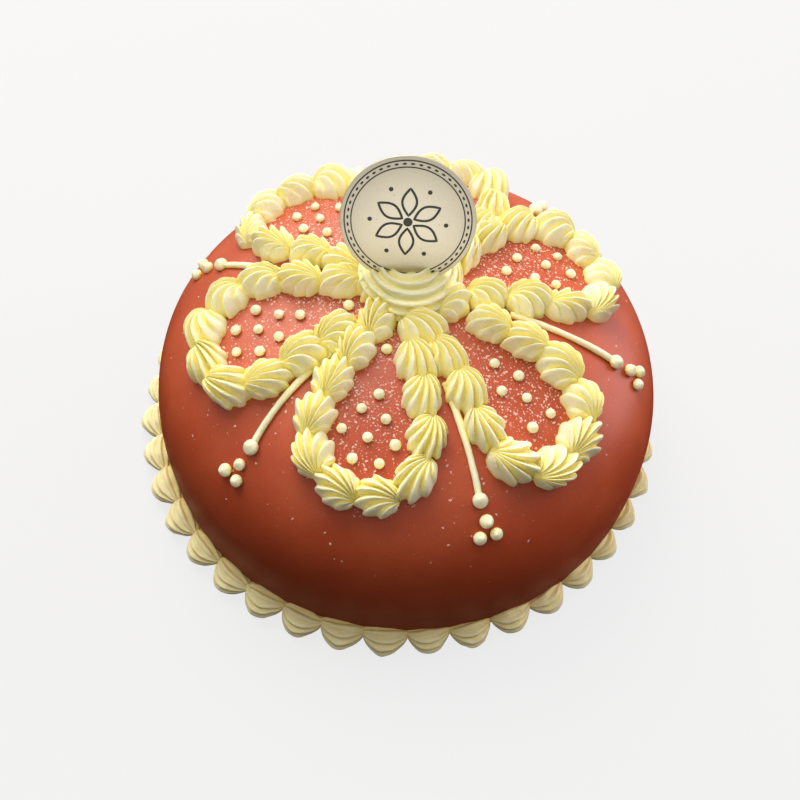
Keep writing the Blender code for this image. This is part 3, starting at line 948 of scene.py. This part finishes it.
class CAKE_OT_petals(bpy.types.Operator):
    """Pipe the flower's petals, each a loop of overlapping shells"""

    bl_idname = "cake.petals"
    bl_label = "Petals"

    def execute(self, context):
        fix_noise()
        settings = context.scene.cake.piping
        draw = random.Random(settings.seed)
        shells = template_collection("shells", [
            shell_mesh(
                draw,
                settings.shell_length * draw.uniform(0.97, 1.05),
                settings.shell_width * draw.uniform(0.96, 1.04),
                settings.shell_height * draw.uniform(0.93, 1.05),
                settings.ridges + draw.choice((-1, 0, 0)),
                settings.groove_depth,
            )
            for _ in range(SHELL_KINDS)
        ])
        for index, petal in enumerate(PETALS):
            places = petal_places(petal, settings.shells)
            rope = pipe_rope(petal, places, shells, 1.05, settings.seed + index, shared_cream())
            smooth(rope, 75)
            finish_piece(f"{petal}_piping", rope, shared_cream(), (petal,))
        discard(shells)
        return {"FINISHED"}


class CAKE_OT_border(bpy.types.Operator):
    """Pipe the shell border round the foot of the cake"""

    bl_idname = "cake.border"
    bl_label = "Shell Border"

    def execute(self, context):
        fix_noise()
        settings = context.scene.cake.piping
        draw = random.Random(settings.seed + 100)
        shells = template_collection("border shells", [
            border_shell_mesh(
                draw, BORDER_LENGTH * draw.uniform(0.96, 1.03), BORDER_WIDTH,
                BORDER_HEIGHT * draw.uniform(0.95, 1.0),
            )
            for _ in range(BORDER_KINDS)
        ])
        places = []
        for index in range(settings.border_shells):
            angle = 2 * math.pi * index / settings.border_shells
            out = Vector((math.cos(angle), math.sin(angle), 0.0))
            yaw = angle + draw.uniform(-0.13, 0.13)
            travel = Vector((-math.sin(yaw), math.cos(yaw), 0.0))
            radius = settings.border_radius - draw.uniform(0.0, 0.0006)
            matrix = frame_at(out * radius, Vector((0.0, 0.0, 1.0)), travel)
            places.append((matrix, draw.uniform(0.95, 1.0)))
        # Painted shade: the second colour is laid into the border cream's grooves by the occlusion mask
        cream = cream_material("border cream", linear(255, 247, 198), linear(238, 214, 138))
        ring = pipe_rope("border", places, shells, 1.0, settings.seed, cream)
        bm = bmesh.new()
        bm.from_mesh(ring)
        everything = bm.verts[:] + bm.edges[:] + bm.faces[:]
        cut = bmesh.ops.bisect_plane(
            bm, geom=everything, plane_co=(0, 0, BORDER_CUT), plane_no=(0, 0, -1), clear_outer=True
        )
        rim = [item for item in cut["geom_cut"] if isinstance(item, bmesh.types.BMEdge)]
        bmesh.ops.contextual_create(bm, geom=rim)
        bm.to_mesh(ring)
        bm.free()
        smooth(ring, 75)
        finish_piece("border_piping", ring, cream, ("border",))
        discard(shells)
        return {"FINISHED"}


# Dots, stamens and sugar dust


def drop_mesh(radius, height, peak_lean):
    """A drop of cream with a round body and a small leaning peak."""
    bm = bmesh.new()
    bmesh.ops.create_uvsphere(bm, u_segments=20, v_segments=14, radius=1.0)
    for vert in bm.verts:
        level = vert.co.z
        rise = level * 0.56 + 0.30
        if level > 0.75:
            rise += 0.14 * ((level - 0.75) / 0.25) ** 1.6
        tip = max(level - 0.7, 0.0)
        vert.co = Vector((
            (vert.co.x + peak_lean.x * tip) * radius,
            (vert.co.y + peak_lean.y * tip) * radius,
            rise * height,
        ))
    return mesh_of("drop", bm)


def drops_tree():
    """A Geometry Nodes tree that sets drops of cream on points."""
    tree, source = node_group("Sugar Drops", {
        "Drops": "Collection", "Size Spread": "Float", "Seed": "Int", "Cream": "Material",
    })
    least = tree.math("SUBTRACT", 1.0, source["Size Spread"])
    most = tree.math("ADD", 1.0, source["Size Spread"])
    placed = tree.place_facing(source["Geometry"], source["Drops"], least, most, source["Seed"])
    return tree.finish(placed, source["Cream"])


def finish_drops(name, plans, seed):
    """Finish a piece of drops at plan positions; each plan is x, y and a size."""
    settings = bpy.context.scene.cake.topping
    draw = random.Random(seed)
    drops = template_collection(f"{name} drops", [
        drop_mesh(
            settings.dot_radius, settings.dot_height,
            Vector((draw.uniform(-1.1, 1.1), draw.uniform(-1.1, 1.1), 0.0)),
        )
        for _ in range(DROP_KINDS)
    ])
    places = []
    for x, y, size in plans:
        turn = draw.uniform(-math.pi, math.pi)
        travel = Vector((math.cos(turn), math.sin(turn), 0.0))
        places.append((frame_at(*cake_point(x, y), travel), size))
    group = bpy.data.node_groups.get("Sugar Drops") or drops_tree()
    mesh = run_on_places(name, places, group, {
        "Drops": drops, "Size Spread": 0.08, "Seed": seed, "Cream": shared_cream(),
    })
    discard(drops)
    smooth(mesh, 60)
    finish_piece(name, mesh, shared_cream())


class CAKE_OT_dots(bpy.types.Operator):
    """Set the sugar dots inside the petals"""

    bl_idname = "cake.dots"
    bl_label = "Petal Dots"

    def execute(self, context):
        plans = [(x, y, 1.0) for petal in PETALS for x, y in petal_dot_plans(petal)]
        finish_drops("petal_dots", plans, DOTS_SEED)
        return {"FINISHED"}


class CAKE_OT_stamens(bpy.types.Operator):
    """Pipe the thin stamens between the petals and their end dots"""

    bl_idname = "cake.stamens"
    bl_label = "Stamens"

    def execute(self, context):
        radius = context.scene.cake.topping.stamen_radius
        curve = bpy.data.curves.new("stamens", "CURVE")
        curve.dimensions = "3D"
        curve.bevel_depth = radius
        curve.bevel_resolution = 5
        curve.use_fill_caps = True
        draw = random.Random(STAMENS_SEED)
        knots = 26
        for inner, outer in STAMENS:
            spline = curve.splines.new("POLY")
            spline.points.add(knots - 1)
            bow = draw.uniform(-0.0009, 0.0009)
            for index, knot in enumerate(spline.points):
                share = index / (knots - 1)
                reach = STAMEN_START + (STAMEN_END - STAMEN_START) * share
                sway = bow * math.sin(math.pi * share) + draw.uniform(-0.00006, 0.00006)
                azimuth = inner + (outer - inner) * share + math.degrees(sway / reach)
                point, normal = cake_point(*polar(reach, azimuth))
                knot.co = (*(point + normal * radius * 0.55), 1.0)
                knot.radius = 1.0 + 0.07 * math.sin(9 * share + bow * 9000) + draw.uniform(-0.03, 0.03)
        mesh = merged("stamen lines", [spend(new_object("stamen tubes", curve))])
        smooth(mesh, 60)
        finish_piece("stamen_lines", mesh, shared_cream())

        plans = []
        for _, outer in STAMENS:
            plans.append((*polar(STAMEN_END, outer), STAMEN_END_SIZE))
            for reach, turn in zip(STAMEN_DOT_REACHES, STAMEN_DOT_TURNS):
                plans.append((*polar(reach, outer + turn), STAMEN_DOT_SIZE))
        finish_drops("stamen_dots", plans, STAMEN_DOTS_SEED)
        return {"FINISHED"}


def dust_tree():
    """A Geometry Nodes tree that scatters flecks of sugar where the dust attribute is high."""
    tree, source = node_group("Icing Sugar", {
        "Flecks": "Collection", "Density": "Float", "Seed": "Int", "Sugar": "Material",
    })
    seed = source["Seed"]
    density = tree.math("MULTIPLY", tree.attribute("dust"), source["Density"])
    points = tree.add(
        "GeometryNodeDistributePointsOnFaces",
        {"Mesh": source["Geometry"], "Density": density, "Seed": seed},
        distribute_method="RANDOM",
    )
    spin = tree.add(
        "FunctionNodeRandomValue", {0: (0.0, 0.0, -math.pi), 1: (0.0, 0.0, math.pi), 8: seed},
        data_type="FLOAT_VECTOR",
    )
    turned = tree.add(
        "FunctionNodeRotateRotation",
        {0: points.outputs["Rotation"], 1: tree.rotation(spin.outputs[0])},
        rotation_space="LOCAL",
    )
    size = tree.add("FunctionNodeRandomValue", {2: 0.0, 3: 1.0, 8: seed}, data_type="FLOAT")
    skew = tree.math("POWER", size.outputs[1], 3.0)
    scale = tree.math("MULTIPLY_ADD", skew, 1.9, 0.50)
    placed = tree.place(points.outputs[0], source["Flecks"], turned.outputs[0], scale)
    return tree.finish(placed, source["Sugar"])


def fleck_mesh(size, draw):
    """A tiny uneven crumb of sugar, a few faces in all."""
    bm = bmesh.new()
    bmesh.ops.create_icosphere(bm, subdivisions=1, radius=1.0)
    bmesh.ops.dissolve_limit(bm, angle_limit=0.0, verts=bm.verts, edges=bm.edges)
    long = draw.uniform(0.6, 1.5)
    for vert in bm.verts:
        lump = draw.uniform(0.55, 1.25)
        vert.co.x *= size / 2 * long * lump
        vert.co.y *= size / 2 * lump * draw.uniform(0.5, 0.9)
        vert.co.z *= size * 0.16 * lump
    return mesh_of("fleck", bm)


class CAKE_OT_dust(bpy.types.Operator):
    """Scatter icing sugar inside and round the flower"""

    bl_idname = "cake.dust"
    bl_label = "Icing Sugar"

    def execute(self, context):
        settings = context.scene.cake.topping
        draw = random.Random(FLECKS_SEED)
        flecks = template_collection(
            "flecks", [fleck_mesh(settings.dust_size, draw) for _ in range(FLECK_KINDS)]
        )
        sugar = dust_material()
        dome = bpy.data.objects["marzipan_dome"].data.copy()
        mesh = run_nodes("dust carrier", dome, dust_tree(), {
            "Flecks": flecks, "Density": settings.dust_density, "Seed": SCATTER_SEED, "Sugar": sugar,
        })
        discard(flecks)
        finish_piece("icing_sugar", mesh, sugar)
        return {"FINISHED"}


# Rosette


def rosette_tree():
    """A Geometry Nodes tree that sweeps a star-shaped section along the rosette's swirl."""
    tree, source = node_group("Rosette Sweep", {"Section": "Object", "Cream": "Material"})
    section = tree.add("GeometryNodeObjectInfo", {"Object": source["Section"]}).outputs["Geometry"]
    swept = tree.add(
        "GeometryNodeCurveToMesh",
        {"Curve": source["Geometry"], "Profile Curve": section, "Fill Caps": True},
    )
    if "Scale" in swept.inputs:
        tree.fill(swept, {"Scale": tree.add("GeometryNodeInputRadius").outputs[0]})
    return tree.finish(swept.outputs[0], source["Cream"])


def star_section(radius, ridges, depth):
    """A closed curve with round ridges and narrow grooves."""
    curve = bpy.data.curves.new("star section", "CURVE")
    curve.dimensions = "2D"
    spline = curve.splines.new("POLY")
    count = ridges * SECTION_POINTS_PER_RIDGE
    spline.points.add(count - 1)
    spline.use_cyclic_u = True
    for index, point in enumerate(spline.points):
        size = radius * (1 - depth * groove_share(index / SECTION_POINTS_PER_RIDGE, 1.2))
        turn = 2 * math.pi * index / count
        point.co = (size * math.cos(turn), size * math.sin(turn), 0.0, 1.0)
    return new_object("star section", curve)


def sweep(knots, section):
    """A plain mesh swept along knots, each a place, a radius and a twist."""
    curve = bpy.data.curves.new("sweep", "CURVE")
    curve.dimensions = "3D"
    curve.twist_mode = "Z_UP"
    spline = curve.splines.new("POLY")
    spline.points.add(len(knots) - 1)
    for point, (place, radius, twist) in zip(spline.points, knots):
        point.co = (*place, 1.0)
        point.radius = radius
        point.tilt = twist
    mesh = run_nodes("sweep", curve, rosette_tree(), {"Section": section, "Cream": shared_cream()})
    bpy.data.objects.remove(section, do_unlink=True)
    return mesh


def swirl_knots():
    """The rosette's strand: out in front, round and inwards, climbing a little."""
    centre = CAKE_AXIS + ROSETTE_OFFSET + Vector((-0.0014, 0.0, 0.0))
    knots = []
    for index in range(STRAND_KNOTS):
        share = index / (STRAND_KNOTS - 1)
        angle = STRAND_START + 2 * math.pi * STRAND_TURNS * share
        ring = 0.0128 - 0.0052 * share
        height = CAKE_HEIGHT + 0.0040 + 0.0030 * share
        place = centre + Vector((ring * math.cos(angle), ring * math.sin(angle), height))
        swell = min(1.0, 0.30 + share * 7) * min(1.0, 0.25 + (1 - share) * 6)
        knots.append((place, swell, STRAND_TWIST * share))
    return knots


def mound_mesh():
    """The soft heap in the rosette's middle that the plaque stands in."""
    bm = bmesh.new()
    bmesh.ops.create_uvsphere(bm, u_segments=96, v_segments=48, radius=1.0)
    centre = CAKE_AXIS + ROSETTE_OFFSET + Vector((0.0, 0.0, CAKE_HEIGHT + 0.0045))
    half_x, half_y, half_z = MOUND_HALF_SIZE
    for vert in bm.verts:
        fold = 1 - 0.05 * groove_share(vert.co.z * 4.5 + vert.co.x * 1.2, 1.2)
        place = Vector((vert.co.x * half_x * fold, vert.co.y * half_y * fold, vert.co.z * half_z))
        lump = noise.noise_vector(place * 190.0) * 0.0004
        vert.co = centre + place + lump
    return mesh_of("mound", bm)


class CAKE_OT_rosette(bpy.types.Operator):
    """Pipe the rosette that holds the plaque"""

    bl_idname = "cake.rosette"
    bl_label = "Rosette"

    def execute(self, context):
        fix_noise()
        swirl = sweep(swirl_knots(), star_section(STRAND_RADIUS, STRAND_RIDGES, STRAND_GROOVE_DEPTH))
        mesh = merged("rosette", [swirl, mound_mesh()])
        smooth(mesh, 75)
        finish_piece("rosette_piping", mesh, shared_cream(), ("rosette",))
        return {"FINISHED"}


# Plaque


def line_mesh(outline, half_line, base):
    """A closed printed line just proud of the disc's face, from a function that shifts it outwards."""
    bm = bmesh.new()
    top = base + PRINT_PROUD
    corners = ((-half_line, base), (-half_line, top), (half_line, top), (half_line, base))
    loops = [[bm.verts.new((x, y, level)) for x, y in outline(shift)] for shift, level in corners]
    for first, second in zip(loops, loops[1:] + loops[:1]):
        for here in range(len(first)):
            there = (here + 1) % len(first)
            bm.faces.new((first[here], second[here], second[there], first[there]))
    return mesh_of("printed line", bm)


def ring_mesh(radius, half_line, base):
    """A printed ring."""
    turns = [2 * math.pi * step / RING_SEGMENTS for step in range(RING_SEGMENTS)]

    def outline(shift):
        return [((radius + shift) * math.cos(turn), (radius + shift) * math.sin(turn)) for turn in turns]

    return line_mesh(outline, half_line, base)


def leaf_mesh(length, width, half_line, base):
    """A pointed petal drawn as a closed line, its root at the origin and its tip at +Y."""
    samples = 20
    shares = [step / samples for step in range(samples)]
    middle = [(width / 2 * math.sin(math.pi * share), length * share) for share in shares]
    back = [1 - share for share in shares]
    middle += [(-width / 2 * math.sin(math.pi * share), length * share) for share in back]

    def outline(shift):
        points = []
        for index, (x, y) in enumerate(middle):
            x0, y0 = middle[index - 1]
            x1, y1 = middle[(index + 1) % len(middle)]
            run = math.hypot(x1 - x0, y1 - y0) or 1.0
            points.append((x + (y1 - y0) / run * shift, y - (x1 - x0) / run * shift))
        return points

    return line_mesh(outline, half_line, base)


def disc_mesh(name, radius, depth, segments):
    bm = bmesh.new()
    bmesh.ops.create_cone(
        bm, cap_ends=True, segments=segments, radius1=radius, radius2=radius, depth=depth
    )
    return mesh_of(name, bm)


def bead_mesh(radius, base, long=1.0):
    """A small printed dot or dash."""
    mesh = disc_mesh("bead", radius, PRINT_PROUD, BEAD_SEGMENTS)
    for vert in mesh.vertices:
        vert.co.x *= long
        vert.co.z += base + PRINT_PROUD / 2
    return mesh


def ring_of_tree():
    """A Geometry Nodes tree that repeats a mark round a circle, turned to follow it."""
    tree, source = node_group("Marks In A Ring", {
        "Count": "Int", "Radius": "Float", "Start": "Float", "Ink": "Material",
    })
    index = tree.add("GeometryNodeInputIndex").outputs[0]
    share = tree.math("DIVIDE", index, source["Count"])
    turn = tree.math("MULTIPLY_ADD", share, 2 * math.pi, source["Start"])
    x = tree.math("MULTIPLY", tree.math("SINE", turn), source["Radius"])
    y = tree.math("MULTIPLY", tree.math("COSINE", turn), source["Radius"])
    place = tree.add("ShaderNodeCombineXYZ", {0: x, 1: y}).outputs[0]
    euler = tree.add("ShaderNodeCombineXYZ", {2: tree.math("MULTIPLY", turn, -1.0)}).outputs[0]
    points = tree.add("GeometryNodePoints", {"Count": source["Count"], "Position": place}).outputs[0]
    placed = tree.add(
        "GeometryNodeInstanceOnPoints",
        {"Points": points, "Instance": source["Geometry"], "Rotation": tree.rotation(euler)},
    )
    return tree.finish(placed.outputs[0], source["Ink"])


def ring_of(mark, count, radius, ink, start=0.0):
    """A mesh with a mark repeated round a circle."""
    group = bpy.data.node_groups.get("Marks In A Ring") or ring_of_tree()
    values = {"Count": count, "Radius": radius, "Start": start, "Ink": ink}
    return run_nodes("mark", mark, group, values)


class CAKE_OT_plaque(bpy.types.Operator):
    """Make the round plaque and its printed ornament"""

    bl_idname = "cake.plaque"
    bl_label = "Plaque"

    def execute(self, context):
        settings = context.scene.cake.plaque
        radius = settings.diameter / 2
        disc = new_object("disc", disc_mesh("disc", radius, settings.thickness, DISC_SEGMENTS))
        edge = disc.modifiers.new("edge", "BEVEL")
        edge.width = DISC_BEVEL
        edge.segments = 3
        mesh = spend(disc)
        mesh.transform(plaque_matrix())
        smooth(mesh, 35)
        finish_piece("plaque_disc", mesh, plaque_material(), ("plaque",))

        ink = ink_material()
        face = settings.thickness / 2
        half_step = math.pi / 6
        ornament = merged("plaque print", [
            ring_mesh(radius * 0.933, 0.00024, face),
            ring_mesh(radius * 0.835, 0.00022, face),
            ring_of(bead_mesh(0.00036, face, 2.0), 48, radius * 0.884, ink),
            ring_of(leaf_mesh(radius * 0.42, radius * 0.21, 0.00042, face), 6, radius * 0.10, ink),
            ring_of(bead_mesh(0.00080, face), 6, radius * 0.56, ink, half_step),
            ring_of(bead_mesh(0.00013, face), 6, radius * 0.46, ink, half_step),
            bead_mesh(radius * 0.070, face),
        ])
        ornament.transform(plaque_matrix())
        finish_piece("plaque_print", ornament, ink)
        return {"FINISHED"}


# Stage


def stage_material(name, colour, glow):
    material, tree, shader, where = new_material(name)
    share = tree.ramp(tree.noise(where, 3.0, 2.0), 0.3, 0.7)
    tint = tree.mix(share, tuple(0.995 * c for c in colour), colour)
    tree.fill(shader, {
        "Base Color": tint,
        "Emission Color": tint,
        "Emission Strength": glow,
        "Roughness": 1.0,
        "Specular IOR Level": 0.0,
    })
    return material


def floor_mesh():
    """A wide round floor that sweeps up into a pale wall, with no corner to see."""
    profile = [(0.4, 0.0), (1.2, 0.0), (3.0, 0.0)]
    for step in range(1, 13):
        angle = math.pi / 2 * step / 12
        profile.append((3.0 + 2.0 * math.sin(angle), 2.0 - 2.0 * math.cos(angle)))
    profile.append((5.0, 6.0))
    steps = 96
    verts = [(0.0, 0.0, 0.0)]
    for radius, height in profile:
        for step in range(steps):
            turn = 2 * math.pi * step / steps
            verts.append((radius * math.cos(turn), radius * math.sin(turn), height))
    mesh = mesh_from_grid("floor", verts, ring_faces(len(profile), steps))
    mesh.shade_smooth()
    return mesh


def add_area_light(name, place, target, size, power, colour):
    light = bpy.data.lights.new(name, "AREA")
    light.shape = "DISK"
    light.size = size
    light.energy = power
    light.color = colour
    lamp = new_object(name, light)
    lamp.location = place
    lamp.rotation_euler = (Vector(target) - Vector(place)).to_track_quat("-Z", "Y").to_euler()
    return lamp


def light_only(lamp, *names):
    """Let a lamp fall on the named pieces alone."""
    lit = bpy.data.collections.new(f"{lamp.name} receivers")
    for name in names:
        lit.objects.link(bpy.data.objects[name])
    lamp.light_linking.receiver_collection = lit


def camera_matrix():
    """The camera's place and turn, from its angles about the cake's axis."""
    cos_e = math.cos(CAMERA_ELEVATION)
    sin_e = math.sin(CAMERA_ELEVATION)
    place = CAKE_AXIS + Vector((0.0, -cos_e, sin_e)) * CAMERA_DISTANCE
    forward = Vector((0.0, cos_e, -sin_e))
    right = Vector((1.0, 0.0, 0.0))
    up = right.cross(forward)
    panned = forward * math.cos(CAMERA_PAN) + right * math.sin(CAMERA_PAN)
    side = panned.cross(up)
    ahead = panned * math.cos(CAMERA_TILT) + up * math.sin(CAMERA_TILT)
    over = side.cross(ahead)
    x_axis = side * math.cos(CAMERA_ROLL) + over * math.sin(CAMERA_ROLL)
    y_axis = -side * math.sin(CAMERA_ROLL) + over * math.cos(CAMERA_ROLL)
    turn = Matrix((x_axis, y_axis, -ahead)).transposed()
    return Matrix.Translation(place) @ turn.to_4x4()


class CAKE_OT_stage(bpy.types.Operator):
    """Set up the pale floor, the soft light and the camera"""

    bl_idname = "cake.stage"
    bl_label = "Stage"

    def execute(self, context):
        settings = context.scene.cake.stage
        scene = context.scene
        mesh = floor_mesh()
        mesh.materials.append(stage_material("floor", tuple(settings.floor_colour), FLOOR_GLOW))
        floor = new_object("floor", mesh)
        floor.visible_diffuse = False
        floor.visible_glossy = False
        floor.visible_shadow = False

        world = bpy.data.worlds.new("studio")
        scene.world = world
        world.use_nodes = True
        tree = Tree(world.node_tree)
        direction = tree.add("ShaderNodeTexCoord").outputs["Generated"]
        parts = tree.add("ShaderNodeSeparateXYZ", {0: direction}).outputs
        upward = tree.ramp(tree.math("MULTIPLY_ADD", parts["Y"], 0.62, parts["Z"]), -0.26, 1.05)
        colour = tree.mix(upward, (0.020, 0.012, 0.010), (0.86, 0.84, 0.82))
        tree.fill(world.node_tree.nodes["Background"], {"Color": colour, "Strength": 1.0})

        target = (CAKE_AXIS.x, CAKE_AXIS.y, CAKE_HEIGHT * 0.8)
        add_area_light(
            "key", place=(-0.28, 0.56, 0.76), target=target,
            size=0.8, power=settings.key_power, colour=(1.0, 0.96, 0.88),
        )
        add_area_light(
            "right fill", place=(0.80, 0.30, 0.34), target=target,
            size=0.6, power=3.2, colour=(1.0, 0.88, 0.96),
        )
        low_light = add_area_light(
            "plaque light", place=(0.0, -0.80, 0.02), target=(0.0, 0.0, 0.10),
            size=0.6, power=2.4, colour=(0.98, 0.97, 0.95),
        )
        light_only(low_light, "plaque_disc", "plaque_print")
        front_light = add_area_light(
            "cream light", place=(-0.25, -0.60, 0.60), target=target,
            size=0.5, power=1.5, colour=(0.99, 0.95, 0.73),
        )
        petals = [f"{petal}_piping" for petal in PETALS]
        light_only(front_light, "rosette_piping", "petal_dots", "stamen_lines", "stamen_dots", *petals)

        camera_data = bpy.data.cameras.new("camera")
        camera_data.sensor_width = 36.0
        camera_data.lens = CAMERA_LENS
        camera_data.clip_start = 0.01
        camera = new_object("camera", camera_data)
        camera.matrix_world = camera_matrix()
        scene.camera = camera
        scene.view_settings.view_transform = "Standard"
        return {"FINISHED"}


class CAKE_PT_panel(bpy.types.Panel):
    """Lists the cake's pieces and their settings"""

    bl_label = "Princess Cake"
    bl_idname = "CAKE_PT_panel"
    bl_space_type = "VIEW_3D"
    bl_region_type = "UI"
    bl_category = "Cake"

    def draw(self, context):
        settings = context.scene.cake
        for title, group, operators in (
            ("Marzipan", settings.marzipan, ("cake.marzipan",)),
            ("Piping", settings.piping, ("cake.petals", "cake.rosette", "cake.border")),
            ("Toppings", settings.topping, ("cake.dots", "cake.stamens", "cake.dust")),
            ("Plaque", settings.plaque, ("cake.plaque",)),
            ("Stage", settings.stage, ("cake.stage",)),
        ):
            box = self.layout.box()
            box.label(text=title)
            for name in group.__annotations__:
                box.prop(group, name)
            for operator in operators:
                box.operator(operator)


CLASSES = (
    CakeMarzipanSettings,
    CakePipingSettings,
    CakeToppingSettings,
    CakePlaqueSettings,
    CakeStageSettings,
    CakeSettings,
    CAKE_OT_marzipan,
    CAKE_OT_petals,
    CAKE_OT_border,
    CAKE_OT_rosette,
    CAKE_OT_dots,
    CAKE_OT_stamens,
    CAKE_OT_dust,
    CAKE_OT_plaque,
    CAKE_OT_stage,
    CAKE_PT_panel,
)


def register():
    for item in CLASSES:
        bpy.utils.register_class(item)
    bpy.types.Scene.cake = PointerProperty(type=CakeSettings)


def unregister():
    del bpy.types.Scene.cake
    for item in reversed(CLASSES):
        bpy.utils.unregister_class(item)


def main():
    register()
    bpy.ops.cake.marzipan()
    bpy.ops.cake.petals()
    bpy.ops.cake.rosette()
    bpy.ops.cake.border()
    bpy.ops.cake.dots()
    bpy.ops.cake.stamens()
    bpy.ops.cake.dust()
    bpy.ops.cake.plaque()
    bpy.ops.cake.stage()


if __name__ == "__main__":
    main()
